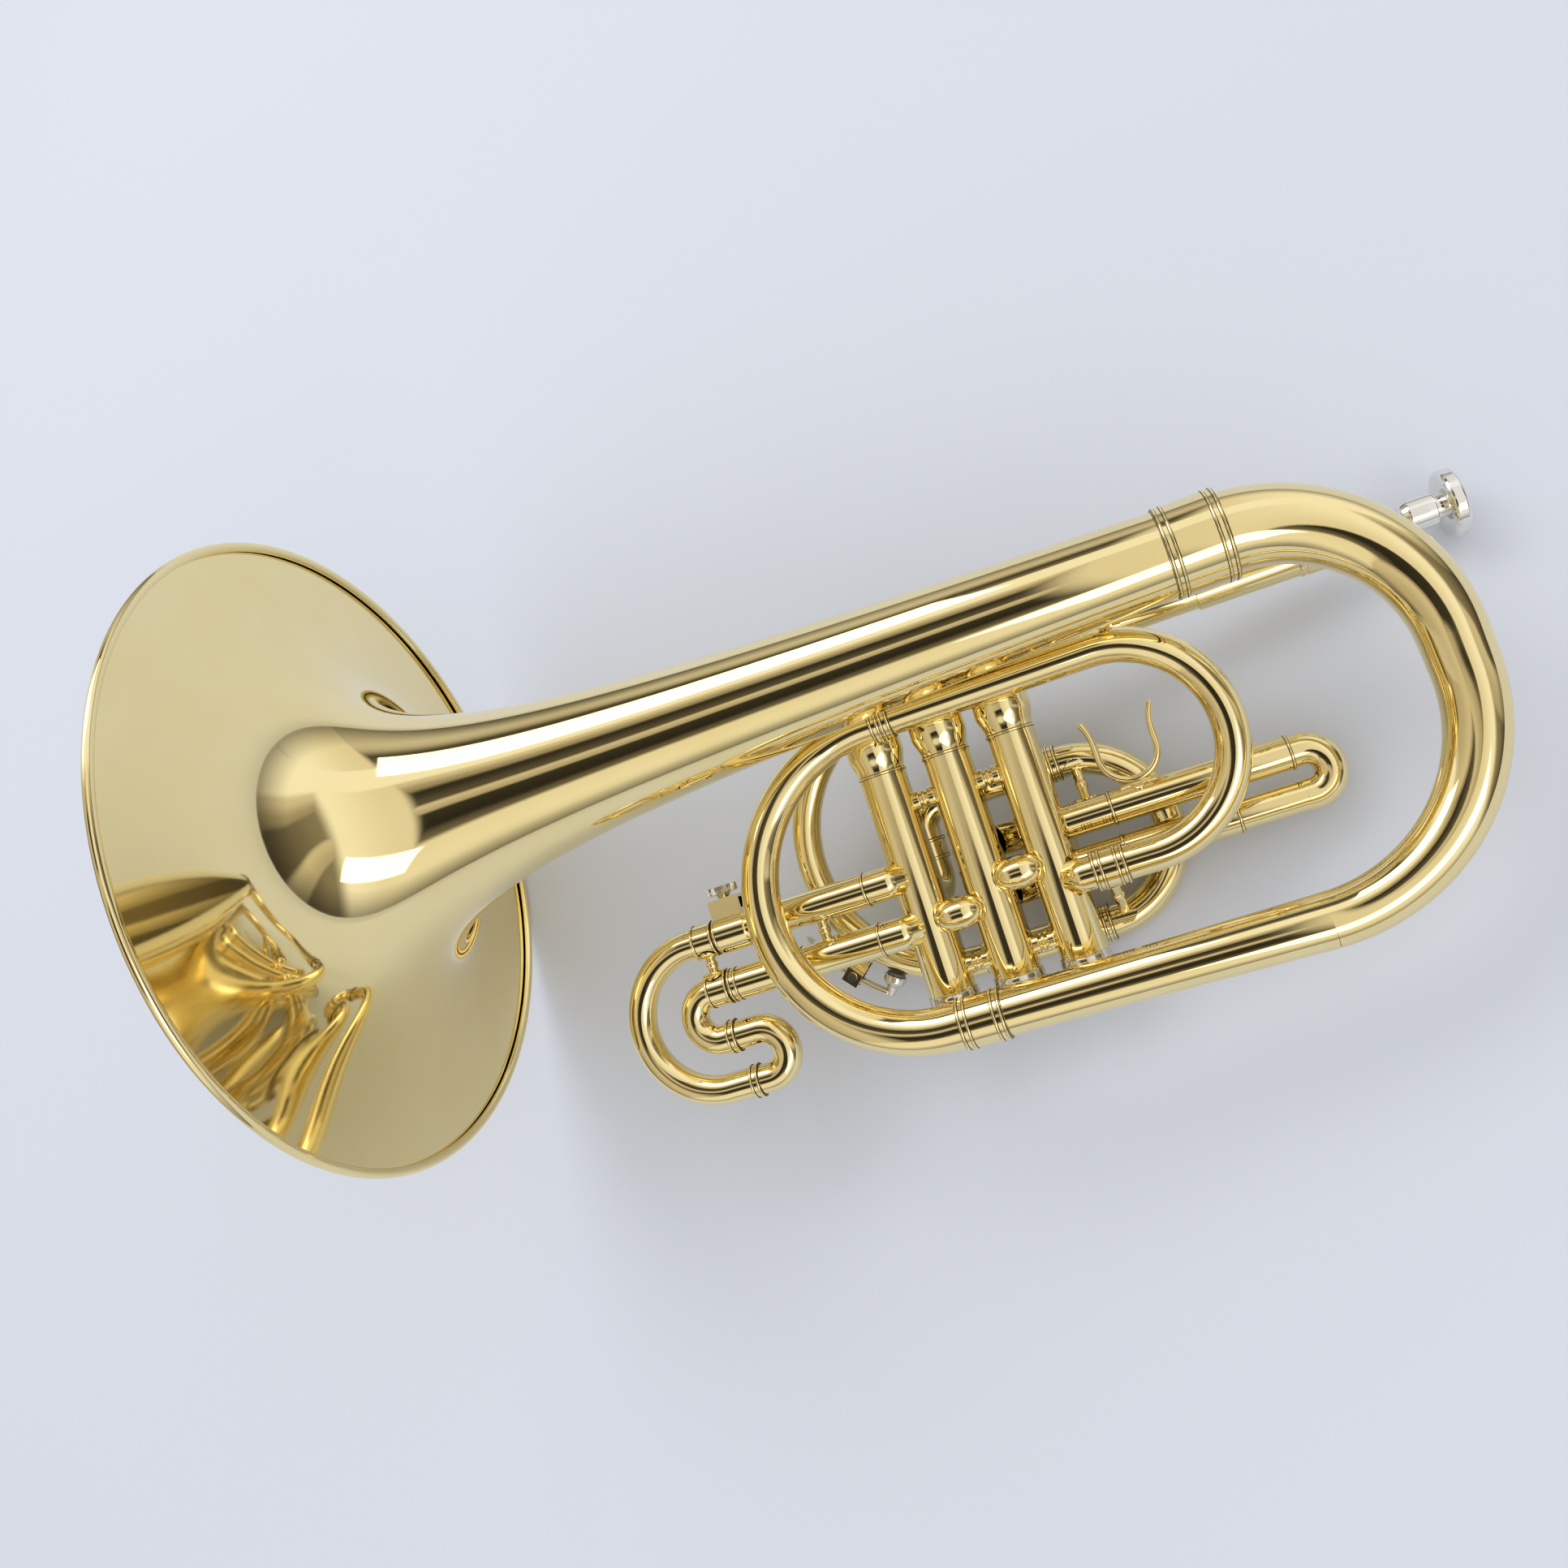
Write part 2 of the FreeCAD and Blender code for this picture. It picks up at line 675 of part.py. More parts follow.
CROSSOVER_X = {"3_2": "((%s + %s) / 2)" % (valve_x(3), valve_x(2)),
               "2_1": "((%s + %s) / 2)" % (valve_x(2), valve_x(1))}
CROSSOVER_Z = "(valve_z + crossover_lift)"
BRANCH_X = "(valve_1_x + knuckle_reach)"
SECOND_X = "(%s + 20 * cos(second_angle * 1 deg))" % valve_x(2)
SECOND_Z = "(valve_z - 20 * sin(second_angle * 1 deg))"
PORTS = {
    3: [("entry_y", "return_x", "far_z"), ("crossover_3_2_y", CROSSOVER_X["3_2"], CROSSOVER_Z),
        ("third_upper_y", "third_knuckle_x", "third_z"), ("third_lower_y", "third_knuckle_x", "third_z")],
    2: [("crossover_3_2_y", CROSSOVER_X["3_2"], CROSSOVER_Z),
        ("crossover_2_1_y", CROSSOVER_X["2_1"], CROSSOVER_Z),
        ("second_upper_y", SECOND_X, SECOND_Z), ("second_lower_y", SECOND_X, SECOND_Z)],
    1: [("crossover_2_1_y", CROSSOVER_X["2_1"], CROSSOVER_Z), ("branch_y", BRANCH_X, "branch_z"),
        ("first_upper_y", "valve_1_x + 20", "valve_z"), ("first_lower_y", "valve_1_x + 20", "valve_z")],
}
CASING_LENGTH = "(casing_top - casing_bottom)"
RING_AT = "(casing_ring_y - casing_bottom)"
PISTON_RADIUS = "(casing_bore - piston_clearance)"
CAP_INNER = "(casing_bottom - bottom_band_height - bottom_knurl_height)"
PISTON_BOTTOM = "(%s + valve_travel + bottom_space)" % CAP_INNER
PISTON_TOP = "(%s + piston_length)" % PISTON_BOTTOM
LEDGE = "(%s + guide_thickness)" % PISTON_TOP
COLLAR_TOP = "(casing_top - cap_spigot - 0.3)"
for number in (1, 2, 3):
    x = valve_x(number)
    casing = turned("casing_%d" % number, [
        ("0", "casing_bore"), ("0", "casing_radius"), (RING_AT, "casing_radius"),
        (RING_AT, "casing_radius + ring_height"), (RING_AT + " + ring_width", "casing_radius + ring_height"),
        (RING_AT + " + ring_width", "casing_radius + 0.1"),
        (RING_AT + " + ring_width + baluster_swell * 0.35", "casing_radius + 0.6"),
        (RING_AT + " + ring_width + baluster_swell * 0.75", "baluster_radius - 0.3"),
        (RING_AT + " + ring_width + baluster_swell", "baluster_radius"),
        (CASING_LENGTH, "baluster_radius"), (CASING_LENGTH, "baluster_bore"),
        (RING_AT + " + ring_width + baluster_swell", "baluster_bore"), (RING_AT + " + 1", "casing_bore"),
    ])
    bottom = (x, "casing_bottom", "valve_z")
    casing.Placement = aim(bottom, Y_AXIS)
    doc.recompute()
    drills = []
    passages = []
    for i, (height, port_x, port_z) in enumerate(PORTS[number]):
        aside, reach = toward(number, port_x, port_z)
        start = (x, height, "valve_z")
        drills.append(cylinder("port_%d_%d" % (number, i), "port_radius", "casing_radius + 2", start, aside))
        if i < 2:
            passages.append(cylinder("way_%d_%d" % (number, i), "port_radius", "casing_radius + 2", start, aside))
            passages.append(ball("way_end_%d_%d" % (number, i), "port_radius", start))
    node("valve_casing_%d" % number, difference("valve_casing_%d" % number, casing, drills))

    # The piston has its stem on top, with the spring's collar, and the open passage through it.
    stem_bottom = "piston_length"
    collar = "(%s - %s - collar_thickness)" % (COLLAR_TOP, PISTON_BOTTOM)
    stem_top = "(casing_top + cap_height + felt_thickness + valve_travel + button_lift - %s)" % PISTON_BOTTOM
    outline = [
        ("0", "0"), ("0", PISTON_RADIUS), ("piston_length", PISTON_RADIUS),
        ("piston_length", "valve_stem_radius"), (collar, "valve_stem_radius"), (collar, "collar_radius"),
        (collar + " + collar_thickness", "collar_radius"),
        (collar + " + collar_thickness", "valve_stem_radius"), (stem_top, "valve_stem_radius"),
        (stem_top, "0"),
    ]
    piston = turned("piston_body_%d" % number, outline)
    piston.Placement = aim((x, PISTON_BOTTOM, "valve_z"), Y_AXIS)
    start = (x, PISTON_BOTTOM + " - 1", "valve_z")
    passages.append(cylinder("piston_hollow_%d" % number, "casing_bore * 0.62", "casing_bore + 2", start, Y_AXIS))
    node("piston_%d" % number, difference("piston_%d" % number, piston, passages))
    button_y = "(%s + %s)" % (PISTON_BOTTOM, stem_top)
    button = turned("finger_button_%d" % number, [
        ("0", "valve_stem_radius + solder_gap"), ("0", "button_radius * 0.55"),
        ("button_thickness * 0.3", "button_radius * 0.6"), ("button_thickness * 0.45", "button_radius"),
        ("button_thickness * 0.9", "button_radius"), ("button_thickness", "button_radius - 0.5"),
        ("button_thickness", "0"), ("button_thickness * 0.4", "0"),
        ("button_thickness * 0.4", "valve_stem_radius + solder_gap"),
    ])
    node("finger_button_%d" % number, button, aim((x, button_y + " - button_thickness * 0.4", "valve_z"), Y_AXIS))
    spring_length = "(%s - collar_thickness - %s - 0.1)" % (COLLAR_TOP, LEDGE)
    node("valve_spring_%d" % number,
         sleeve("valve_spring_%d" % number, spring_length, "spring_radius - spring_wire", "spring_radius"),
         aim((x, LEDGE + " + 0.05", "valve_z"), Y_AXIS))

valves = [valve_x(n) for n in (1, 2, 3)]
guide = sleeve("valve_guide", "guide_thickness - 0.1", "valve_stem_radius + stem_clearance", "casing_bore - solder_gap")
cap_bore = "valve_stem_radius + stem_clearance"
top_cap = turned("top_cap", [
    ("0", cap_bore), ("0", "baluster_bore - solder_gap"), ("cap_spigot", "baluster_bore - solder_gap"),
    ("cap_spigot", "cap_radius - 0.6"), ("cap_spigot + 0.6", "cap_radius"),
    ("cap_spigot + cap_height * 0.6", "cap_radius"), ("cap_spigot + cap_height * 0.75", "cap_radius * 0.85"),
    ("cap_spigot + cap_height", "cap_radius * 0.5"), ("cap_spigot + cap_height", cap_bore),
])
bottom_cap = turned("bottom_cap", [
    ("0", "0"), ("0", "bottom_band_radius * 0.6"), ("bottom_dome_height", "bottom_band_radius"),
    ("bottom_dome_height + 0.1", "bottom_knurl_radius"),
    ("bottom_dome_height + bottom_knurl_height", "bottom_knurl_radius"),
    ("bottom_dome_height + bottom_knurl_height", "bottom_band_radius"),
    ("bottom_dome_height + bottom_knurl_height + bottom_band_height", "bottom_band_radius"),
    ("bottom_dome_height + bottom_knurl_height + bottom_band_height", "casing_bore"),
    ("bottom_dome_height", "casing_bore"), ("bottom_dome_height", "0"),
])
SPOOL = "(valve_pitch - 2 * casing_radius + 3)"
brace = turned("casing_brace", [(along.replace("L", SPOOL), radius) for along, radius in (
    ("0", "0"), ("0", "brace_radius"), ("L * 0.32", "brace_radius"), ("L * 0.36", "brace_waist"),
    ("L * 0.42", "brace_waist"), ("L * 0.45", "brace_radius * 0.92"), ("L * 0.55", "brace_radius * 0.92"),
    ("L * 0.58", "brace_waist"), ("L * 0.64", "brace_waist"), ("L * 0.68", "brace_radius"),
    ("L", "brace_radius"), ("L", "0"))])
doc.recompute()
node("valve_guides", several("valve_guides", guide, [
    aim((x, PISTON_TOP + " + 0.05", "valve_z"), Y_AXIS) for x in valves]))
node("top_caps", several("top_caps", top_cap, [
    aim((x, "casing_top - cap_spigot", "valve_z"), Y_AXIS) for x in valves]))
node("bottom_caps", several("bottom_caps", bottom_cap, [
    aim((x, "%s - bottom_dome_height" % CAP_INNER, "valve_z"), Y_AXIS) for x in valves]))
spools = several("casing_spools", brace, [
    aim(("%s + casing_radius - 1.5" % x, y, "valve_z"), x_axis)
    for x in (valve_x(3), valve_x(2)) for y in ("upper_brace_y", "lower_brace_y")])
node("casing_braces", difference("casing_braces", spools,
                                 [casing_cutter("casing_cut_%d" % n, n) for n in (1, 2, 3)]))


# Knuckles: short tubes from a casing's side to a round corner, where the next tube starts.
KNUCKLE_BORE = "knuckle_radius - knuckle_wall"


def stub(number, height, x, z):
    """The stretch from a valve's axis to the corner at x, z."""
    aside, reach = toward(number, x, z)
    return run((valve_x(number), height, "valve_z"), aside, reach)


for pair, left, right in (("3_2", 3, 2), ("2_1", 2, 1)):
    height = "crossover_%s_y" % pair
    x = CROSSOVER_X[pair]
    crossover = cornered("crossover_" + pair, "crossover_radius", "crossover_radius - knuckle_wall", [
        stub(left, height, x, CROSSOVER_Z), stub(right, height, x, CROSSOVER_Z),
        elbow_ball((x, height, CROSSOVER_Z)),
    ], [casing_cutter("crossover_%s_cut_%d" % (pair, n), n) for n in (left, right)])
    node("crossover_" + pair, crossover)

FIRST_PORT = "slide_radius + slide_clearance + sleeve_wall"
clear_first = cylinder("clear_first_port", FIRST_PORT + " + solder_gap", "40",
                       ("valve_1_x", "first_lower_y", "first_z"))
node("branch_knuckle", cornered("branch_knuckle", "top_tube_radius", "top_tube_radius - knuckle_wall", [
    stub(1, "branch_y", BRANCH_X, "branch_z"), elbow_ball((BRANCH_X, "branch_y", "branch_z")),
    run((BRANCH_X, "branch_y", "branch_z"), x_axis, "branch_joint_x - %s" % BRANCH_X, "e"),
], [casing_cutter("branch_cut", 1), clear_first]))

SLEEVE_BORE = "slide_radius + slide_clearance"
SLEEVE_RADIUS = "(slide_radius + slide_clearance + sleeve_wall)"
knuckles = []
for side in ("upper", "lower"):
    y = "third_%s_y" % side
    knuckles.append(cornered("third_knuckle_" + side, SLEEVE_RADIUS, SLEEVE_BORE, [
        stub(3, y, "third_knuckle_x", "third_z"), elbow_ball(("third_knuckle_x", y, "third_z")),
        run(("third_sleeve_x", y, "third_z"), x_axis, "third_knuckle_x - third_sleeve_x", "s"),
    ], [casing_cutter("third_knuckle_cut_" + side, 3)]))
pair = doc.addObject("Part::Compound", "third_slide_knuckles")
pair.Links = knuckles
node("third_slide_knuckles", pair)

# Leadpipe, receiver and mouthpiece, all on one axis on the far side.
node("leadpipe", turned("leadpipe", [
    ("0", "leadpipe_radius - leadpipe_wall"), ("0", "leadpipe_radius"),
    ("receiver_start - main_upper_end - 4", "leadpipe_radius"),
    ("receiver_start + leadpipe_insertion - main_upper_end", "leadpipe_end_radius"),
    ("receiver_start + leadpipe_insertion - main_upper_end", "leadpipe_end_radius - leadpipe_wall"),
    ("receiver_start - main_upper_end - 4", "leadpipe_end_radius - leadpipe_wall"),
]), aim(("main_upper_end", "lead_y", "far_z"), x_axis))
SHANK_BORE = "shank_radius + shank_clearance"
COLLAR_START = "(receiver_length - receiver_collar)"
node("mouthpiece_receiver", turned("mouthpiece_receiver", [
    ("0", "leadpipe_radius + solder_gap"), ("0", "receiver_radius"), (COLLAR_START, "receiver_radius"),
    (COLLAR_START, "receiver_collar_radius"), (COLLAR_START + " + 1.2", "receiver_collar_radius"),
    (COLLAR_START + " + 1.2", "receiver_collar_radius - 0.35"),
    ("receiver_length - 0.6", "receiver_collar_radius - 0.35"),
    ("receiver_length", "receiver_collar_radius - 0.9"), ("receiver_length", SHANK_BORE),
    ("leadpipe_insertion", SHANK_BORE), ("leadpipe_insertion", "leadpipe_radius + solder_gap"),
]), aim(("receiver_start", "lead_y", "far_z"), x_axis))
MP_LENGTH = "(shank_insertion + mouthpiece_exposed)"
RIM_BACK = "(%s - rim_thickness)" % MP_LENGTH
WAIST = "(%s - mouthpiece_waist_length)" % RIM_BACK
BARREL = "(%s - cup_barrel_length)" % WAIST
node("mouthpiece", turned("mouthpiece", [
    ("0", "mouthpiece_throat"), ("0", "shank_radius"), ("shank_insertion + 0.3", "shank_radius"),
    ("shank_insertion + 12", "shank_radius + 0.3"), (BARREL + " - 3", "mouthpiece_waist + 0.1"),
    (BARREL + " - 0.8", "mouthpiece_waist - 0.4"), (BARREL, "cup_barrel_radius - 1.4"),
    (BARREL + " + cup_barrel_length * 0.35", "cup_barrel_radius"), (WAIST + " - 0.3", "cup_barrel_radius"),
    (WAIST, "cup_barrel_radius - 0.3"), (WAIST + " + 0.2", "mouthpiece_waist"),
    (WAIST + " + 1.0", "mouthpiece_waist"), (WAIST + " + 1.1", "mouthpiece_waist + 0.8"),
    (WAIST + " + 1.9", "mouthpiece_waist + 0.8"), (WAIST + " + 2.0", "mouthpiece_waist"),
    (RIM_BACK + " - 0.3", "mouthpiece_waist"), (RIM_BACK, "rim_radius - 1.6"),
    (RIM_BACK + " + 0.9", "rim_radius - 0.4"), (RIM_BACK + " + 1.8", "rim_radius"),
    (MP_LENGTH + " - 1.5", "rim_radius"), (MP_LENGTH + " - 0.5", "rim_radius - 0.7"),
    (MP_LENGTH, "rim_radius - 2.0"), (MP_LENGTH + " - 0.2", "rim_radius - 3.2"),
    (MP_LENGTH + " - 1.2", "rim_radius - 4.2"), (RIM_BACK + " + 1.6", "rim_radius * 0.45"),
    (RIM_BACK + " - 1", "mouthpiece_throat"),
]), aim(("receiver_start + receiver_length - shank_insertion", "lead_y", "far_z"), x_axis))

# Main slide: its two legs run back into the sleeves, and its bow bulges forward.
MAIN_LOWER_Y = "(lead_y - leg_spacing)"
MAIN_MID_Y = "(lead_y - leg_spacing / 2)"
MAIN_BEND = "(leg_spacing / 2)"
SLEEVE_START = "(main_bow_x + 1 + slide_seat)"
upper = sleeve("main_upper_sleeve", "main_upper_end - %s" % SLEEVE_START, SLEEVE_BORE, SLEEVE_RADIUS,
               ("0.2", "main_upper_end - %s - ring_width - 0.2" % SLEEVE_START))
upper.Placement = aim((SLEEVE_START, "lead_y", "far_z"), x_axis)
lower_sleeve = sleeve("main_lower_sleeve", "crook_x - crook_ferrule_length / 2 - %s" % SLEEVE_START,
                      SLEEVE_BORE, SLEEVE_RADIUS, ("0.2",))
lower_sleeve.Placement = aim((SLEEVE_START, MAIN_LOWER_Y, "far_z"), x_axis)
sleeves = doc.addObject("Part::Compound", "main_slide_sleeves")
sleeves.Links = [upper, lower_sleeve]
node("main_slide_sleeves", sleeves)
main_origin = ("main_bow_x", MAIN_MID_Y, "far_z")


def slide(name, bend, bow_legs, upper_leg, lower_leg):
    """A bow with thinner legs, which slide in their sleeves. It bulges to +X about the origin."""
    thick = [turn(("0", "0", "0"), bend, "-90", "180")]
    thin = []
    for side, reach in (("+", upper_leg), ("-", lower_leg)):
        y = "%s(%s)" % (side, bend)
        thick.append(run(("-(%s)" % bow_legs, y, "0"), (1, 0, 0), bow_legs))
        if reach:
            thin.append(run(("-(%s)" % reach, y, "0"), (1, 0, 0), "%s - (%s)" % (reach, bow_legs)))
    stretches = []
    for tag, radius, course in (("bow", "bow_radius", thick), ("leg", "slide_radius", thin)):
        for i, make in enumerate(course):
            outer = make("%s_%s_%d" % (name, tag, i), radius, 0)
            inner = make("%s_%s_%d_bore" % (name, tag, i), radius + " - tube_wall", 0)
            stretches.append(difference("%s_%s_%d_wall" % (name, tag, i), outer, [inner]))
    return union(name + "_whole", stretches)


KEY_R = "(%s + bow_radius)" % MAIN_BEND


def beside_bow(angle, distance, z="0"):
    """A point at an angle round the main bow and a distance from its centre, in the slide's axes."""
    return ("-(%s) * cos((%s) * 1 deg)" % (distance, angle), "(%s) * sin((%s) * 1 deg)" % (distance, angle), z)


def outward(angle):
    a = math.radians(value(angle))
    return (-math.cos(a), math.sin(a), 0)


nozzle = difference("key_nozzle", cylinder(
    "key_nozzle_disc", "key_pad_radius - 0.6", "2.8", beside_bow("key_pad_angle", KEY_R + " - 2.2"),
    outward("key_pad_angle")), [ring_arc("key_nozzle_bow", MAIN_BEND, "bow_radius - 0.2", ("0", "0", "0"), "-90", "180")])
drain = cylinder("key_drain", "1.6", "4", beside_bow("key_pad_angle", KEY_R + " - 2"), outward("key_pad_angle"))
main = difference("main_slide", union("main_with_nozzle", [
    slide("main_slide_tube", MAIN_BEND, "1", "main_leg", "lower_leg"), nozzle]), [drain])
main_place = Placement(point(main_origin), LEFTWARD)
node("main_slide", main, main_place)

# Main crook, its ferrules, and the return tube that drops behind valve 3 and turns into its side.
CROOK_BEND = "((crook_upper_y - %s) / 2)" % MAIN_LOWER_Y
CROOK_JOINT = "(crook_ferrule_length / 2)"
node("main_crook", bow("main_crook", CROOK_BEND, "crook_radius", "crook_radius - tube_wall",
                       CROOK_JOINT, CROOK_JOINT),
     aim(("crook_x", "(crook_upper_y + %s) / 2" % MAIN_LOWER_Y, "far_z"), x_axis))
crook_ferrule = sleeve("crook_ferrule", "crook_ferrule_length", "%s + solder_gap" % SLEEVE_RADIUS,
                       "%s + solder_gap + ferrule_wall" % SLEEVE_RADIUS, end_rings("crook_ferrule_length"))
return_ferrule = sleeve("return_ferrule", "return_ferrule_length", "return_radius + solder_gap",
                        "return_radius + solder_gap + ferrule_wall * 0.7", ("0.3", "return_ferrule_length - 1.2"))
doc.recompute()
wrap = several("crook_ferrules", crook_ferrule, [
    aim(("crook_x - crook_ferrule_length", y, "far_z"), x_axis) for y in ("crook_upper_y", MAIN_LOWER_Y)])
joint = several("return_ferrules", return_ferrule, [
    aim(("return_x", "return_joint_y - return_ferrule_length / 2", "far_z"), Y_AXIS)])
ferrules = doc.addObject("Part::Compound", "main_wrap_ferrules")
ferrules.Links = wrap.Links + joint.Links
node("main_wrap_ferrules", ferrules)
RETURN_TURN_X = "(return_x + return_bend)"
RETURN_TURN_Y = "(crook_upper_y - return_bend)"
node("return_tube", pipe("return_tube", "return_radius", "return_radius - tube_wall", [
    run((RETURN_TURN_X, "crook_upper_y", "far_z"), x_axis, "crook_x - %s - %s" % (CROOK_JOINT, RETURN_TURN_X), "e"),
    turn((RETURN_TURN_X, RETURN_TURN_Y, "far_z"), "return_bend", "90", "90"),
    run(("return_x", "return_joint_y", "far_z"), Y_AXIS, "%s - return_joint_y" % RETURN_TURN_Y, "s"),
]))

# The elbow turns from straight down to the valve's axis, in the upright plane through both.
aside, reach = toward(3, "return_x", "far_z")
into_valve = aside.normalize() * -1
elbow = pipe("return_knuckle", "return_radius", "return_radius - tube_wall", [
    run(("0", "-elbow_bend", "0"), x_axis, "return_joint_y - entry_y - elbow_bend", "e"),
    turn(("0", "0", "0"), "elbow_bend", "180", "90"),
    run(("-elbow_bend", "0", "0"), Y_AXIS, "%s - elbow_bend" % reach),
])
elbow_place = aim(("return_x", "entry_y + elbow_bend", "far_z"), Y_AXIS, into_valve)
elbow_place.Base = elbow_place.Base + into_valve * value("elbow_bend")
elbow.Placement = elbow_place
node("return_knuckle", difference("return_knuckle_cut", elbow, [casing_cutter("return_cut", 3)]))

# Water key, drawn in the slide's axes: its arm follows the bow, and its barrel turns on a pin
# between two ears.
PIVOT_R = "(%s + key_reach)" % MAIN_BEND
arm = ring_arc("key_arm", PIVOT_R, "key_arm_radius", ("0", "0", "0"), "180 - key_pad_angle",
               "key_pad_angle - key_tail_angle")
tip = ball("key_tail", "key_arm_radius * 1.7", beside_bow("key_tail_angle", PIVOT_R))
CUP_START = "(%s + 0.6 + key_pad_thickness + 0.02)" % KEY_R
cup = cylinder("key_cup", "key_cup_radius", "%s - %s + key_arm_radius * 0.5" % (PIVOT_R, CUP_START),
               beside_bow("key_pad_angle", CUP_START), outward("key_pad_angle"))
barrel = cylinder("key_barrel", "key_barrel_radius", "key_barrel_length",
                  beside_bow("key_pivot_angle", PIVOT_R, "-key_barrel_length / 2"), (0, 0, 1))
pin_hole = cylinder("key_pin_hole", "key_pin_radius + slide_clearance", "key_barrel_length + 2",
                    beside_bow("key_pivot_angle", PIVOT_R, "-key_barrel_length / 2 - 1"), (0, 0, 1))
node("water_key_lever", difference("water_key_lever", union("key_solid", [arm, tip, cup, barrel]), [pin_hole]),
     main_place)
node("water_key_pad", cylinder("water_key_pad", "key_pad_radius", "key_pad_thickness",
                               beside_bow("key_pad_angle", KEY_R + " + 0.61"), outward("key_pad_angle")))
pad = nodes["water_key_pad"]
pad_group = doc.addObject("Part::Compound", "water_key_pad_disc")
pad_group.Links = [pad]
pad.Label = "key_pad_disc"
node("water_key_pad", pad_group, main_place)
EAR_Z = "(key_barrel_length / 2 + key_running_gap)"
bracket = [block("key_base", "2.0", "key_saddle_width", "2 * (%s + key_ear)" % EAR_Z,
                 (KEY_R + " - 1.2", "-key_saddle_width / 2", "-(%s + key_ear)" % EAR_Z))]
for side, z in (("near", EAR_Z), ("far", "-(%s) - key_ear" % EAR_Z)):
    bracket.append(block("key_ear_" + side, "key_reach - bow_radius + 4.6", "key_saddle_width", "key_ear",
                         (KEY_R + " - 1.6", "-key_saddle_width / 2", z)))
bracket = union("key_bracket", bracket)
bracket.Placement = Placement(Vector(), Rotation(Vector(0, 0, 1), value("180 - key_pivot_angle")))
bow_cut = ring_arc("key_saddle_bow", MAIN_BEND, "bow_radius + solder_gap", ("0", "0", "0"), "-90", "180")
ear_hole = cylinder("key_ear_hole", "key_pin_radius + solder_gap", "2 * (%s + key_ear) + 2" % EAR_Z,
                    beside_bow("key_pivot_angle", PIVOT_R, "-(%s + key_ear) - 1" % EAR_Z), (0, 0, 1))
node("water_key_saddle", difference("water_key_saddle", bracket, [bow_cut, ear_hole]),
     main_place)
screw_length = "(2 * (%s + key_ear))" % EAR_Z
node("water_key_screw", turned("water_key_screw", [
    ("0", "0"), ("0", "key_pin_radius"), (screw_length + " + 0.05", "key_pin_radius"),
    (screw_length + " + 0.05", "key_pin_radius * 1.8"), (screw_length + " + 0.9", "key_pin_radius * 1.8"),
    (screw_length + " + 0.9", "0"),
]), main_place.multiply(aim(beside_bow("key_pivot_angle", PIVOT_R, "(%s + key_ear)" % EAR_Z), (0, 0, -1))))

# Third slide: two fixed sleeves, and a moving loop of one large and two small half circles.
third_sleeve = "third_sleeve_x - third_sleeve_end"
sleeve_upper = sleeve("third_sleeve_upper", third_sleeve, SLEEVE_BORE, SLEEVE_RADIUS,
                      ("0.2", third_sleeve + " - ring_width - 0.2"))
sleeve_upper.Placement = aim(("third_sleeve_end", "third_upper_y", "third_z"), x_axis)
sleeve_lower = sleeve("third_sleeve_lower", third_sleeve, SLEEVE_BORE, SLEEVE_RADIUS,
                      ("0.2", "0.2 + ring_pitch", "32", third_sleeve + " - ring_width - 0.2"))
sleeve_lower.Placement = aim(("third_sleeve_end", "third_lower_y", "third_z"), x_axis)
sleeves = doc.addObject("Part::Compound", "third_slide_sleeves")
sleeves.Links = [sleeve_upper, sleeve_lower]
node("third_slide_sleeves", sleeves)
THIRD_MID_Y = "(third_lower_y - 2 * small_bend)"
THIRD_BOTTOM_Y = "(third_lower_y - 4 * small_bend)"
BIG_BEND = "((third_upper_y - %s) / 2)" % THIRD_BOTTOM_Y
legs = []
for side, start in (("upper", "third_bow_x"), ("lower", "return_left_x")):
    leg_length = "third_ferrule_end + third_leg - %s" % start
    leg = sleeve("third_leg_" + side, leg_length, "slide_radius - tube_wall", "slide_radius")
    leg.Placement = aim((start, "third_%s_y" % side, "third_z"), x_axis)
    legs.append(leg)
pair = doc.addObject("Part::Compound", "third_slide_legs")
pair.Links = legs
node("third_slide_legs", pair)
third_ferrule = sleeve("third_ferrule", "third_sleeve_end - slide_seat - third_ferrule_end",
                       "slide_radius + solder_gap", "slide_radius + solder_gap + ferrule_wall",
                       ("0.3", "third_sleeve_end - slide_seat - third_ferrule_end - ring_width - 0.3"))
joint_ring = sleeve("third_joint_ring", "joint_ring_length", "slide_radius + solder_gap",
                    "slide_radius + solder_gap + ferrule_wall * 0.7")
doc.recompute()
outer_ends = several("third_ferrules", third_ferrule, [
    aim(("third_ferrule_end + 0.05", y, "third_z"), x_axis) for y in ("third_upper_y", "third_lower_y")])
small_rings = several("third_rings", joint_ring, [
    aim(("%s - joint_ring_length / 2" % at, y, "third_z"), x_axis)
    for at, y in (("bottom_joint_x", THIRD_BOTTOM_Y), ("middle_joint_x", THIRD_MID_Y))])
ferrules = doc.addObject("Part::Compound", "third_slide_ferrules")
ferrules.Links = outer_ends.Links + small_rings.Links
node("third_slide_ferrules", ferrules)
big = pipe("third_slide_bow", "slide_radius", "slide_radius - tube_wall", [
    turn(("third_bow_x", "(third_upper_y + %s) / 2" % THIRD_BOTTOM_Y, "third_z"), BIG_BEND, "90", "180"),
    run(("third_bow_x", THIRD_BOTTOM_Y, "third_z"), x_axis, "bottom_joint_x - third_bow_x", "e"),
])
node("third_slide_bow", big)
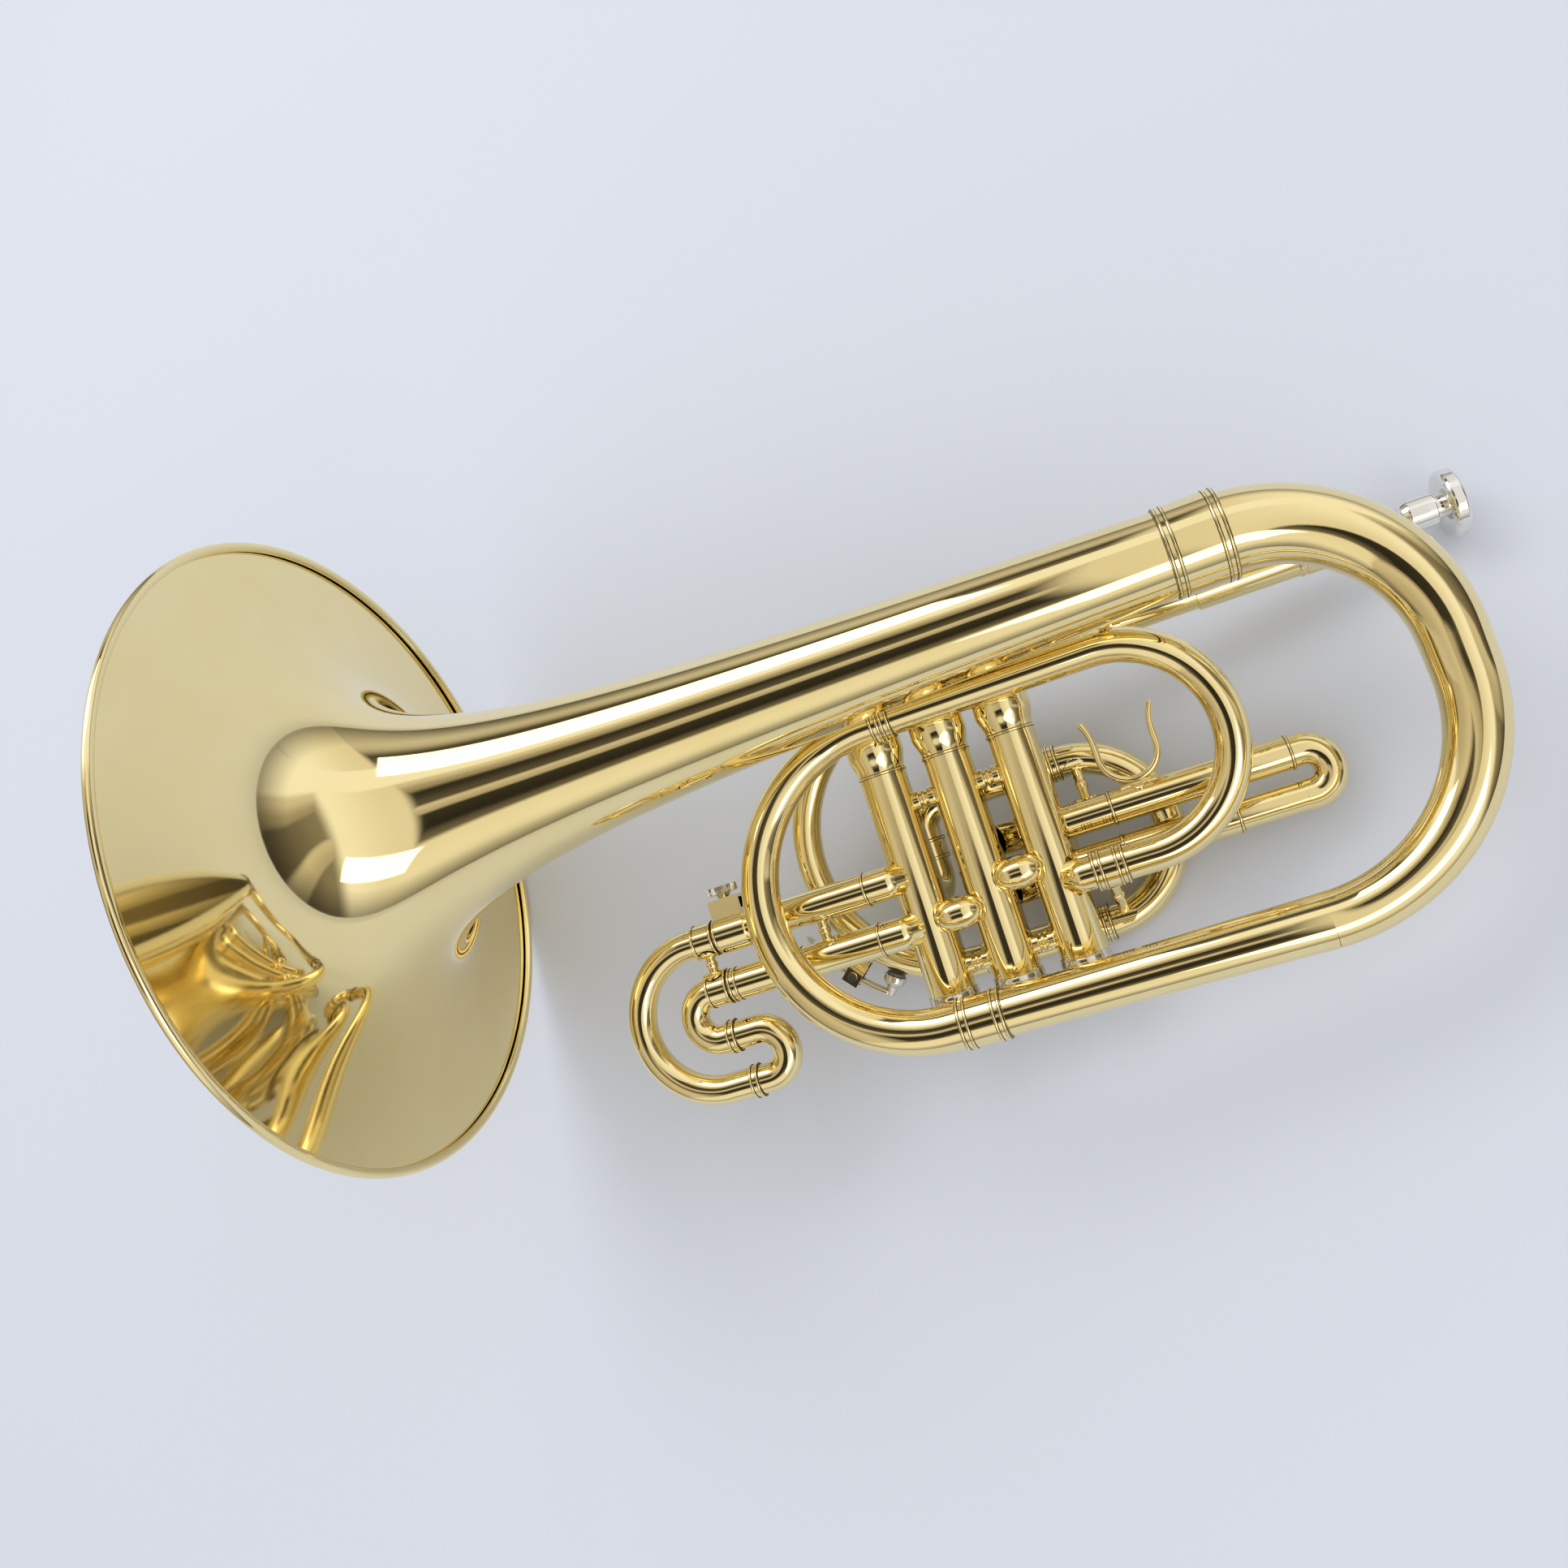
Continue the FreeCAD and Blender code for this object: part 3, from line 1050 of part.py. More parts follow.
right_bow = pipe("return_right", "slide_radius", "slide_radius - tube_wall", [
    run(("bottom_joint_x", THIRD_BOTTOM_Y, "third_z"), x_axis, "return_right_x - bottom_joint_x", "s"),
    turn(("return_right_x", "(%s + %s) / 2" % (THIRD_BOTTOM_Y, THIRD_MID_Y), "third_z"), "small_bend", "-90", "180"),
    run(("middle_joint_x", THIRD_MID_Y, "third_z"), x_axis, "return_right_x - middle_joint_x", "s"),
])
left_bow = pipe("return_left", "slide_radius", "slide_radius - tube_wall", [
    run(("return_left_x", THIRD_MID_Y, "third_z"), x_axis, "middle_joint_x - return_left_x", "e"),
    turn(("return_left_x", "(%s + third_lower_y) / 2" % THIRD_MID_Y, "third_z"), "small_bend", "90", "180"),
])
pair = doc.addObject("Part::Compound", "third_slide_return_bows")
pair.Links = [right_bow, left_bow]
node("third_slide_return_bows", pair)


def saddle_post(name, low, high, low_radius, high_radius):
    """A turned post between two parallel tubes along X, with a curved saddle on each of them."""
    a = point(low)
    b = point(high)
    way = b - a
    gap = "solder_gap"
    post = cylinder(name + "_post", "post_radius", "%.6f" % way.Length, low, way)
    bead_at = a + way * (0.5 + (value(low_radius) - value(high_radius)) / (2 * way.Length))
    knob = ball(name + "_knob", "post_radius * 1.25", ["%.6f" % c for c in bead_at])
    parts = [post, knob]
    for tag, centre, radius, sign in (("low", low, low_radius, 1), ("high", high, high_radius, -1)):
        pad = cylinder(name + "_saddle_" + tag, radius + " + saddle_wall", "saddle_length",
                       ["%s - saddle_length / 2" % centre[0], centre[1], centre[2]])
        side = way * sign
        side.normalize()
        foot = point(centre) + side * (value(radius) * 0.62)
        window = cylinder(name + "_window_" + tag, "saddle_length / 2", "12",
                          ["%.6f" % c for c in foot], side)
        parts.append(overlap(name + "_plate_" + tag, pad, window))
    tubes = [cylinder(name + "_tube_" + tag, "%s + %s" % (radius, gap), "saddle_length + 40",
                      ["%s - saddle_length / 2 - 20" % centre[0], centre[1], centre[2]])
             for tag, centre, radius in (("low", low, low_radius), ("high", high, high_radius))]
    return difference(name + "_brace", union(name + "_solid", parts), tubes)


node("third_sleeve_brace", saddle_post("third_sleeve", ("third_post_x", "third_lower_y", "third_z"),
                                       ("third_post_x", "third_upper_y", "third_z"), SLEEVE_RADIUS, SLEEVE_RADIUS))
FERRULE_OUT = "(slide_radius + solder_gap + ferrule_wall + ring_height)"
node("third_slide_brace", saddle_post(
    "third_slide", ("third_moving_post_x", "third_lower_y", "third_z"),
    ("third_moving_post_x", "third_upper_y", "third_z"), FERRULE_OUT, FERRULE_OUT))

# Lyre holder: a clamp sleeve and a block with a square socket, and a knurled screw that grips it.
LYRE_X = "(third_sleeve_end + 1.6)"
CLAMP_RADIUS = "(%s + solder_gap + 1.2)" % SLEEVE_RADIUS
clamp = cylinder("lyre_clamp", CLAMP_RADIUS, "lyre_clamp_length", (LYRE_X, "third_upper_y", "third_z"))
BLOCK_TOP = "(third_upper_y + %s + lyre_block_height)" % SLEEVE_RADIUS
holder = block("lyre_block", "lyre_clamp_length", "%s - third_upper_y" % BLOCK_TOP, "lyre_block_width",
               (LYRE_X, "third_upper_y", "third_z - lyre_block_width / 2"))
socket = block("lyre_socket_cut", "lyre_clamp_length + 2", "lyre_socket", "lyre_socket",
               (LYRE_X + " - 1", "%s - 1.3 - lyre_socket" % BLOCK_TOP, "third_z - lyre_socket / 2"))
LYRE_MID = "(%s + lyre_clamp_length / 2)" % LYRE_X
thread = cylinder("lyre_thread", "lyre_screw_radius + slide_clearance", "4",
                  (LYRE_MID, "%s - 2" % BLOCK_TOP, "third_z"), Y_AXIS)
leg_room = cylinder("lyre_leg_room", "%s + solder_gap" % SLEEVE_RADIUS, "lyre_clamp_length + 2",
                    (LYRE_X + " - 1", "third_upper_y", "third_z"))
node("lyre_holder", difference("lyre_holder", union("lyre_solid", [clamp, holder]), [socket, thread, leg_room]))
node("lyre_screw", turned("lyre_screw", [
    ("0", "0"), ("0", "lyre_screw_radius"), ("1.4", "lyre_screw_radius"), ("1.4", "lyre_screw_radius * 1.7"),
    ("1.4 + lyre_neck", "lyre_screw_radius * 2.1"), ("1.4 + lyre_neck", "lyre_head_radius - 0.4"),
    ("1.8 + lyre_neck", "lyre_head_radius"), ("1.0 + lyre_neck + lyre_head_thickness", "lyre_head_radius"),
    ("1.4 + lyre_neck + lyre_head_thickness", "lyre_head_radius - 0.4"),
    ("1.4 + lyre_neck + lyre_head_thickness", "0"),
]), aim((LYRE_MID, "%s - 1.3" % BLOCK_TOP, "third_z"), Y_AXIS))

# First slide. Its upper leg is turned round: a fixed inner tube from valve 1 carries a moving sleeve.
# Its lower leg slides in a fixed sleeve in the usual way.
FIRST_GAP = "(first_port_end + slide_seat)"
port = pipe("first_port", SLEEVE_RADIUS, SLEEVE_BORE, [
    run(("valve_1_x", "first_upper_y", "first_z"), x_axis, "first_port_end - valve_1_x", "e"),
], [casing_cutter("first_port_cut", 1)])
inner_tube = sleeve("first_inner", "first_bow_x - 6 - valve_1_x - casing_radius", "slide_radius - tube_wall",
                    "slide_radius")
inner_tube.Placement = aim(("valve_1_x + casing_radius", "first_upper_y", "first_z"), x_axis)
pair = doc.addObject("Part::Compound", "first_slide_port")
pair.Links = [port, inner_tube]
node("first_slide_port", pair)
node("first_slide_lower_sleeve", pipe("first_lower", SLEEVE_RADIUS, SLEEVE_BORE, [
    run(("valve_1_x", "first_lower_y", "first_z"), x_axis, "first_sleeve_end - valve_1_x", "e"),
], [casing_cutter("first_lower_cut", 1)]))
FIRST_BEND = "((first_upper_y - first_lower_y) / 2)"
first = slide("first_slide_tube", FIRST_BEND, "3", "", "first_leg")
node("first_slide", first, aim(("first_bow_x", "(first_upper_y + first_lower_y) / 2", "first_z"), x_axis))
MOVING_END = "(first_bow_x - 3)"
node("first_slide_upper_sleeve",
     sleeve("first_slide_upper_sleeve", "%s - %s" % (MOVING_END, FIRST_GAP), SLEEVE_BORE, SLEEVE_RADIUS,
            ("0.2", "%s - %s - ring_width - 0.2" % (MOVING_END, FIRST_GAP))),
     aim((FIRST_GAP, "first_upper_y", "first_z"), x_axis))
THUMB_Y = "(first_upper_y + %s + thumb_wire * 1.2 + thumb_bend)" % SLEEVE_RADIUS
thumb_parts = [ring_arc("thumb_ring", "thumb_bend", "thumb_wire", ("thumb_x", THUMB_Y, "first_z"), "180", "180")]
for side in (-1, 1):
    foot = ("thumb_x + %d * thumb_bend" % side, THUMB_Y, "first_z")
    thumb_parts.append(cylinder("thumb_prong_%d" % (side + 1), "thumb_wire", "thumb_height - thumb_bend", foot, Y_AXIS))
    end = (foot[0], THUMB_Y + " + thumb_height - thumb_bend", "first_z")
    thumb_parts.append(ball("thumb_tip_%d" % (side + 1), "thumb_wire * 1.15", end))
plate = overlap("thumb_plate", cylinder("thumb_plate_round", SLEEVE_RADIUS + " + 0.9", "15",
                                        ("thumb_x - 7.5", "first_upper_y", "first_z")),
                block("thumb_plate_window", "15", "8", "10", ("thumb_x - 7.5", "first_upper_y + 3.4", "first_z - 5")))
thumb_parts.append(plate)
thumb_room = cylinder("thumb_room", SLEEVE_RADIUS + " + solder_gap", "60", ("thumb_x - 30", "first_upper_y", "first_z"))
node("thumb_saddle", difference("thumb_saddle", union("thumb_solid", thumb_parts), [thumb_room]))

# Second slide: short, on the far side, and turned away from the valve row by its angle.
away = Vector(value("cos(second_angle * 1 deg)"), 0, value("-sin(second_angle * 1 deg)"))
second = []
for side in ("upper", "lower"):
    y = "second_%s_y" % side
    second.append(pipe("second_sleeve_" + side, SLEEVE_RADIUS, SLEEVE_BORE, [
        run((valve_x(2), y, "valve_z"), away, "second_sleeve_reach", "e"),
    ], [casing_cutter("second_cut_" + side, 2)]))
pair = doc.addObject("Part::Compound", "second_slide_sleeves")
pair.Links = second
node("second_slide_sleeves", pair)
SECOND_BEND = "((second_upper_y - second_lower_y) / 2)"
SECOND_END = "(second_bow_reach - second_sleeve_reach - slide_seat)"
second_slide = slide("second_slide_tube", SECOND_BEND, SECOND_END, "%s + second_leg" % SECOND_END,
                     "%s + second_leg" % SECOND_END)
second_place = aim((valve_x(2), "(second_upper_y + second_lower_y) / 2", "valve_z"), away, Y_AXIS)
second_place.Base = second_place.Base + away * value("second_bow_reach")
node("second_slide", second_slide, second_place)

# Braces between the near and the far tubes, and the flanged post from the stem to the leadpipe.
CROOK_BRACE_X = "(crook_x + saddle_length / 2 + crook_brace_gap)"
BRANCH_OUT = "(%s + ferrule_wall + ring_height)" % TOP_BORE
upper_post = saddle_post("crook_to_first", (CROOK_BRACE_X, "crook_upper_y", "far_z"),
                         (CROOK_BRACE_X, "first_upper_y", "first_z"), "(crook_radius + 0.0)", SLEEVE_RADIUS)
lower_post = saddle_post("branch_to_crook", (CROOK_BRACE_X, MAIN_LOWER_Y, "far_z"),
                         (CROOK_BRACE_X, "branch_y", "branch_z"), "(crook_radius + 0.0)", BRANCH_OUT)
braces = []
for side, post in (("upper", upper_post), ("lower", lower_post)):
    crook_room = ring_arc("crook_room_" + side, CROOK_BEND, "crook_radius + solder_gap",
                          ("crook_x", "(crook_upper_y + %s) / 2" % MAIN_LOWER_Y, "far_z"), "-90", "180")
    beside_crook = difference("crook_brace_" + side, post, [crook_room])
    sleeve_room = cylinder("first_sleeve_room_" + side, SLEEVE_RADIUS + " + solder_gap",
                           "first_sleeve_end - valve_1_x", ("valve_1_x", "first_lower_y", "first_z"))
    braces.append(difference("slide_brace_" + side, beside_crook, [sleeve_room]))
pair = doc.addObject("Part::Compound", "slide_braces")
pair.Links = braces
node("slide_braces", pair)
stem_x = value("stem_brace_x")
STEM_HERE = "%.6f" % bell_radius(stem_x)
post = cylinder("stem_post", "stem_brace_radius", "-far_z", ("stem_brace_x", "lead_y", "far_z"), (0, 0, 1))
flange = cylinder("stem_flange", "brace_flange_radius", "%s" % "-far_z", ("stem_brace_x", "lead_y", "far_z"), (0, 0, 1))
LEAD_OUT = "(leadpipe_radius + solder_gap)"
near_pipe = overlap("stem_flange_low", flange, cylinder(
    "stem_flange_round", LEAD_OUT + " + brace_flange_thickness", "20", ("stem_brace_x - 10", "lead_y", "far_z")))
flange_two = cylinder("stem_flange_again", "brace_flange_radius", "-far_z", ("stem_brace_x", "lead_y", "far_z"), (0, 0, 1))
near_stem = overlap("stem_flange_high", flange_two, cylinder(
    "stem_flange_bell", STEM_HERE + " + brace_flange_thickness", "20", ("stem_brace_x - 10", "0", "0")))
stem_room = turned("stem_room", [
    ("0", "0"), ("0", "%.6f" % (bell_radius(stem_x - 15) + 0.03)), ("30", "%.6f" % (bell_radius(stem_x + 15) + 0.03)),
    ("30", "0")])
stem_room.Placement = aim(("stem_brace_x - 15", "0", "0"), x_axis)
pipe_room = cylinder("pipe_room", LEAD_OUT, "40", ("stem_brace_x - 20", "lead_y", "far_z"))
node("stem_brace", difference("stem_brace", union("stem_brace_solid", [post, near_pipe, near_stem]),
                              [stem_room, pipe_room]))

doc.recompute()


# Lying down: the three supports that the horn rests on give the direction up.
def support(centre, axis, radius, tube, down):
    """The lowest point of a round wire of radius tube, bent to a circle about the axis."""
    flat = down - axis * down.dot(axis)
    return centre + flat.normalize() * radius + down * tube


z_axis = Vector(0, 0, 1)
up = Vector(-0.13, 0.28, 0.95).normalize()
crook_centre = point(("crook_x", "(crook_upper_y + %s) / 2" % MAIN_LOWER_Y, "far_z"))
rim_centre = point(("receiver_start + receiver_length + mouthpiece_exposed - 1.5", "lead_y", "far_z"))
for step in range(40):
    down = up * -1
    supports = [
        support(Vector(bead_x, 0, 0), x_axis, mouth - bead, bead, down),
        support(crook_centre, z_axis, value(CROOK_BEND), value("crook_radius"), down),
        support(rim_centre, x_axis, value("rim_radius"), 0, down),
    ]
    normal = (supports[1] - supports[0]).cross(supports[2] - supports[0])
    if normal.z < 0:
        normal = normal * -1
    up = normal.normalize()
forward = (x_axis - up * x_axis.dot(up)).normalize()
sideways = up.cross(forward)
lay_down = Placement(Matrix(forward.x, forward.y, forward.z, 0, sideways.x, sideways.y, sideways.z, 0,
                            up.x, up.y, up.z, 0, 0, 0, 0, 1))
corners = FreeCAD.BoundBox()
for label, item in nodes.items():
    shape = item.Shape.copy()
    shape.Placement = lay_down.multiply(places[label] if item.Placement.isIdentity() else item.Placement)
    for vertex in shape.tessellate(0.05)[0]:
        corners.add(vertex)
shift = Vector(-(corners.XMin + corners.XMax) / 2, -(corners.YMin + corners.YMax) / 2, -corners.ZMin)
lay_down.Base = shift
for label, item in nodes.items():
    own = places[label] if item.Placement.isIdentity() else item.Placement
    item.Placement = lay_down.multiply(own)
doc.recompute()

faults = [item.Label for item in doc.Objects if {"Invalid", "Error"} & set(item.State)]
os.makedirs("parts", exist_ok=True)
for label, item in nodes.items():
    if item.Shape.isNull() or not item.Shape.isValid() or not item.Shape.Solids:
        faults.append(label)
if faults:
    raise RuntimeError("failed: " + ", ".join(sorted(set(faults))))
for label, item in nodes.items():
    item.Shape.exportStep("parts/%s.step" % label)
    print("%-26s solids %d volume %9.1f" % (label, len(item.Shape.Solids), item.Shape.Volume))
print("size %.1f x %.1f x %.1f" % (corners.XLength, corners.YLength, corners.ZLength))
print("up", [round(c, 7) for c in up], "shift", [round(c, 4) for c in shift], "pieces", len(nodes))
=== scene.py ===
"""A mellophone lying on its right side: a lacquered brass horn with a wide bell and three piston valves.

Sizes are in millimetres in the horn's own axes: X runs from the bell's mouth to the tail, Y points to the
valve tops and Z to the player's left, which is up as the horn lies. lying() puts points in the scene.
"""
import bmesh
import bpy
import numpy as np
from mathutils import Matrix


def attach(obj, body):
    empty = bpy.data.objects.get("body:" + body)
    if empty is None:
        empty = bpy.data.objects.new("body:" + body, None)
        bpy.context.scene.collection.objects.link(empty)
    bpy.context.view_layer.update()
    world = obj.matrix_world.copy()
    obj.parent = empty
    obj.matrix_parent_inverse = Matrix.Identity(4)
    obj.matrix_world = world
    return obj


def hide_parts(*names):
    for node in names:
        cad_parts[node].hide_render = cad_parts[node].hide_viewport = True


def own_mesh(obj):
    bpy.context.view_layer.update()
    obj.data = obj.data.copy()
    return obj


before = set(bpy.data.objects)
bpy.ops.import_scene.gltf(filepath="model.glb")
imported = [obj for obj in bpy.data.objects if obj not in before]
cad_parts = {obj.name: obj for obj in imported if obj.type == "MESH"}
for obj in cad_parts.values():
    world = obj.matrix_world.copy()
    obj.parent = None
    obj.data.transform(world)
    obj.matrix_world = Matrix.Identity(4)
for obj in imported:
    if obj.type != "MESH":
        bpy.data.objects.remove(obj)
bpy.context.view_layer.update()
scene = bpy.context.scene

# ---- Camera: a wide view from above the valves, as in the photograph. Its turn is given by the picture's
# right, down and viewing directions in the horn's own axes.
TURN = np.array([[0.9906949, 0.035139, 0.131487],
                 [0.0, 0.9660961, -0.2581827],
                 [-0.1361014, 0.2557803, 0.9571065]])
SHIFT = np.array([-213.5129, 4.4351, 132.5957])


def lying(points):
    """Turns points from the horn's own axes to its lying place, shifts them, and changes mm to metres."""
    return (np.asarray(points, float) @ TURN.T + SHIFT) / 1000


picture = np.array([[0.919209, -0.303527, -0.250849],
                    [-0.324395, -0.944828, -0.04547],
                    [-0.223208, 0.123171, -0.966958]])
lens = bpy.data.cameras.new("camera")
lens.sensor_width = 36
lens.lens = 28.427
lens.shift_x = -0.01829
lens.shift_y = -0.04516
lens.clip_start = 0.01
eye = bpy.data.objects.new("camera", lens)
scene.collection.objects.link(eye)
right, down, ahead = picture @ TURN.T
pose = np.eye(4)
pose[:3, 0], pose[:3, 1], pose[:3, 2] = right, -down, -ahead
pose[:3, 3] = lying([309.336, -69.243, 453.431])
eye.matrix_world = Matrix(pose.tolist())
scene.camera = eye


# ---- Light: a pale room with soft panels. Polished brass is a mirror, so the room has dark strips between
# its bright panels, and their images run along the tubes as the lines that give brass its look.
def linear(colour):
    """sRGB hex to linear light: each channel over 255, then the sRGB curve undone."""
    c = np.array([int(colour[i:i + 2], 16) for i in (1, 3, 5)]) / 255
    return (*np.where(c <= 0.04045, c / 12.92, ((c + 0.055) / 1.055) ** 2.4).tolist(), 1.0)


def add(tree, kind, settings=(), links=()):
    """Adds a node, sets its properties or input values, and links its inputs from other sockets."""
    made = tree.nodes.new(kind)
    for key, setting in dict(settings).items():
        if isinstance(key, int) or key in made.inputs:
            made.inputs[key].default_value = setting
        else:
            setattr(made, key, setting)
    for key, socket in dict(links).items():
        tree.links.new(socket, made.inputs[key])
    return made


world = bpy.data.worlds.new("room")
scene.world = world
world.use_nodes = True
room = world.node_tree
room.nodes.clear()
way = add(room, "ShaderNodeTexCoord")
wave = add(room, "ShaderNodeTexNoise", {"Scale": 1.1, "Detail": 1.0}, {"Vector": way.outputs["Generated"]})
axes = add(room, "ShaderNodeSeparateXYZ", {}, {"Vector": way.outputs["Generated"]})
bent = add(room, "ShaderNodeMath", {"operation": "MULTIPLY_ADD", 1: 0.3}, {0: wave.outputs["Fac"], 2: axes.outputs["Y"]})
spread = add(room, "ShaderNodeMapRange", {"From Min": -0.95, "From Max": 1.25}, {"Value": bent.outputs[0]})
panels = add(room, "ShaderNodeValToRGB", {}, {"Fac": spread.outputs[0]})
stops = [(0.0, "#C9C7C2"), (0.09, "#F4F1EA"), (0.17, "#F0ECE2"), (0.20, "#6A645A"), (0.25, "#2E2B27"), (0.34, "#39352F"),
         (0.37, "#B9B2A4"), (0.43, "#D2CBBE"), (0.46, "#5A544B"), (0.56, "#35312C"), (0.60, "#A59D8E"), (0.66, "#D8D2C6"),
         (0.69, "#FFFFFF"), (0.82, "#FFFFFF"), (0.845, "#77716A"), (0.90, "#4A463F"), (0.95, "#CFCBC3"), (1.0, "#E6E8EC")]
ramp = panels.color_ramp
ramp.interpolation = "EASE"
while len(ramp.elements) < len(stops):
    ramp.elements.new(0.5)
for element, (at, shade) in zip(ramp.elements, stops):
    element.position = at
    element.color = linear(shade)
# Bright walls beyond both ends of the horn: their images are the stripes along the valve casings.
to_end = add(room, "ShaderNodeMapRange", {"From Min": -1.0, "From Max": 1.0}, {"Value": axes.outputs["X"]})
walls = add(room, "ShaderNodeValToRGB", {}, {"Fac": to_end.outputs[0]})
end_stops = [(0.0, "#5A544C"), (0.08, "#BDB5A6"), (0.28, "#D6CEC0"), (0.34, "#9C9486"), (0.37, "#000000"), (0.58, "#000000"),
             (0.61, "#E9E4DA"), (0.84, "#FFFFFF"), (0.90, "#8A8478"), (1.0, "#6B655B")]
ramp = walls.color_ramp
ramp.interpolation = "EASE"
while len(ramp.elements) < len(end_stops):
    ramp.elements.new(0.5)
for element, (at, shade) in zip(ramp.elements, end_stops):
    element.position = at
    element.color = linear(shade)
both = add(room, "ShaderNodeMix", {"data_type": "RGBA", "blend_type": "LIGHTEN", 0: 1.0},
           {6: panels.outputs["Color"], 7: walls.outputs["Color"]})
low_light = add(room, "ShaderNodeMapRange", {"From Min": 0.0, "From Max": 0.3, "To Min": 0.35, "To Max": 1.0},
                {"Value": axes.outputs["Z"]})
light_path = add(room, "ShaderNodeLightPath")
glow = add(room, "ShaderNodeBackground", {}, {"Color": both.outputs[2], "Strength": low_light.outputs[0]})
pale = add(room, "ShaderNodeBackground", {"Color": linear("#EEF0F4"), "Strength": 0.95})
seen = add(room, "ShaderNodeMixShader", {}, {0: light_path.outputs["Is Glossy Ray"], 1: pale.outputs[0],
                                              2: glow.outputs[0]})
add(room, "ShaderNodeOutputWorld", {}, {"Surface": seen.outputs[0]})

for name, place, aim_at, size, power, tint in (
        ("window_panel", (-0.5, 1.2, 1.6), (0.0, 0.0, 0.0), (1.6, 0.8), 9.0, "#F8FAFF"),
        ("side_panel", (0.9, -1.5, 1.3), (0.0, 0.0, 0.05), (1.4, 0.7), 5.0, "#FBFAFF")):
    lamp = bpy.data.lights.new(name, "AREA")
    lamp.shape = "RECTANGLE"
    lamp.size, lamp.size_y = size
    lamp.energy = power
    lamp.color = linear(tint)[:3]
    panel = bpy.data.objects.new(name, lamp)
    scene.collection.objects.link(panel)
    back = np.array(place) - np.array(aim_at)
    back /= np.linalg.norm(back)
    side = np.cross((0, 0, 1.0), back)
    side /= np.linalg.norm(side)
    turned_to = np.eye(4)
    turned_to[:3, 0], turned_to[:3, 1], turned_to[:3, 2], turned_to[:3, 3] = side, np.cross(back, side), back, place
    panel.matrix_world = Matrix(turned_to.tolist())


# ---- Floor: a pale, faintly cool cloth-covered surface that keeps the horn's shadow.
def material(name):
    made = bpy.data.materials.new(name)
    made.use_nodes = True
    made.node_tree.nodes.clear()
    return made, made.node_tree


floor_cloth, tree = material("pale matte floor cloth")
where = add(tree, "ShaderNodeTexCoord")
# Broad soft waves of the cloth, about 90 mm apart.
folds = add(tree, "ShaderNodeTexNoise", {"Scale": 4.0, "Detail": 2.0}, {"Vector": where.outputs["Object"]})
lift = add(tree, "ShaderNodeBump", {"Strength": 0.25, "Distance": 0.02}, {"Height": folds.outputs["Fac"]})
shader = add(tree, "ShaderNodeBsdfPrincipled", {"Base Color": linear("#DADDE4"), "Roughness": 0.85},
             {"Normal": lift.outputs[0]})
add(tree, "ShaderNodeOutputMaterial", {}, {"Surface": shader.outputs[0]})
sheet = bpy.data.meshes.new("floor")
sheet.from_pydata([(-6, -6, 0), (6, -6, 0), (6, 6, 0), (-6, 6, 0)], [], [(0, 1, 2, 3)])
sheet.materials.append(floor_cloth)
floor = bpy.data.objects.new("floor", sheet)
scene.collection.objects.link(floor)


# ---- Bell: one sheet of yellow brass spun to its flare over a mandrel, with a wire rolled into the rim,
# then buffed and lacquered.
def polished(name, shade, deep, rough, coat):
    """A buffed metal: two close tones in soft clouds, and a roughness that drifts a little."""
    made, tree = material(name)
    where = add(tree, "ShaderNodeTexCoord")
    # Clouds of tone about 30 mm across, as lacquer pools and thins over a buffed surface.
    cloud = add(tree, "ShaderNodeTexNoise", {"Scale": 33.0, "Detail": 2.0}, {"Vector": where.outputs["Object"]})
    tone = add(tree, "ShaderNodeMix", {"data_type": "RGBA", 6: linear(shade), 7: linear(deep)},
               {0: cloud.outputs["Fac"]})
    # Buffing haze about 5 mm across. The real marks are finer than a pixel.
    haze = add(tree, "ShaderNodeTexNoise", {"Scale": 200.0, "Detail": 3.0}, {"Vector": where.outputs["Object"]})
    gloss = add(tree, "ShaderNodeMapRange", {"To Min": rough * 0.7, "To Max": rough * 1.4},
                {"Value": haze.outputs["Fac"]})
    dimple = add(tree, "ShaderNodeBump", {"Strength": 0.02, "Distance": 0.001}, {"Height": cloud.outputs["Fac"]})
    shader = add(tree, "ShaderNodeBsdfPrincipled", {"Metallic": 1.0, "Coat Weight": coat, "Coat Roughness": 0.03},
                 {"Base Color": tone.outputs[2], "Roughness": gloss.outputs[0], "Normal": dimple.outputs[0]})
    add(tree, "ShaderNodeOutputMaterial", {}, {"Surface": shader.outputs[0]})
    return made


# Yellow brass under clear lacquer: pale gold in the lights, olive brown where it mirrors the dark.
brass = polished("lacquered yellow brass", "#FAE9B2", "#F2DD9D", 0.045, 0.25)


# The same brass, dark brown in the corners beside each ring and joint: partly polish and lacquer that gather there,
# partly painted shade in the crevice.
polish_and_painted_shade_brass = polished("brass browned by polish and painted corner shade", "#7A5F2C", "#54401C", 0.3, 0.0)


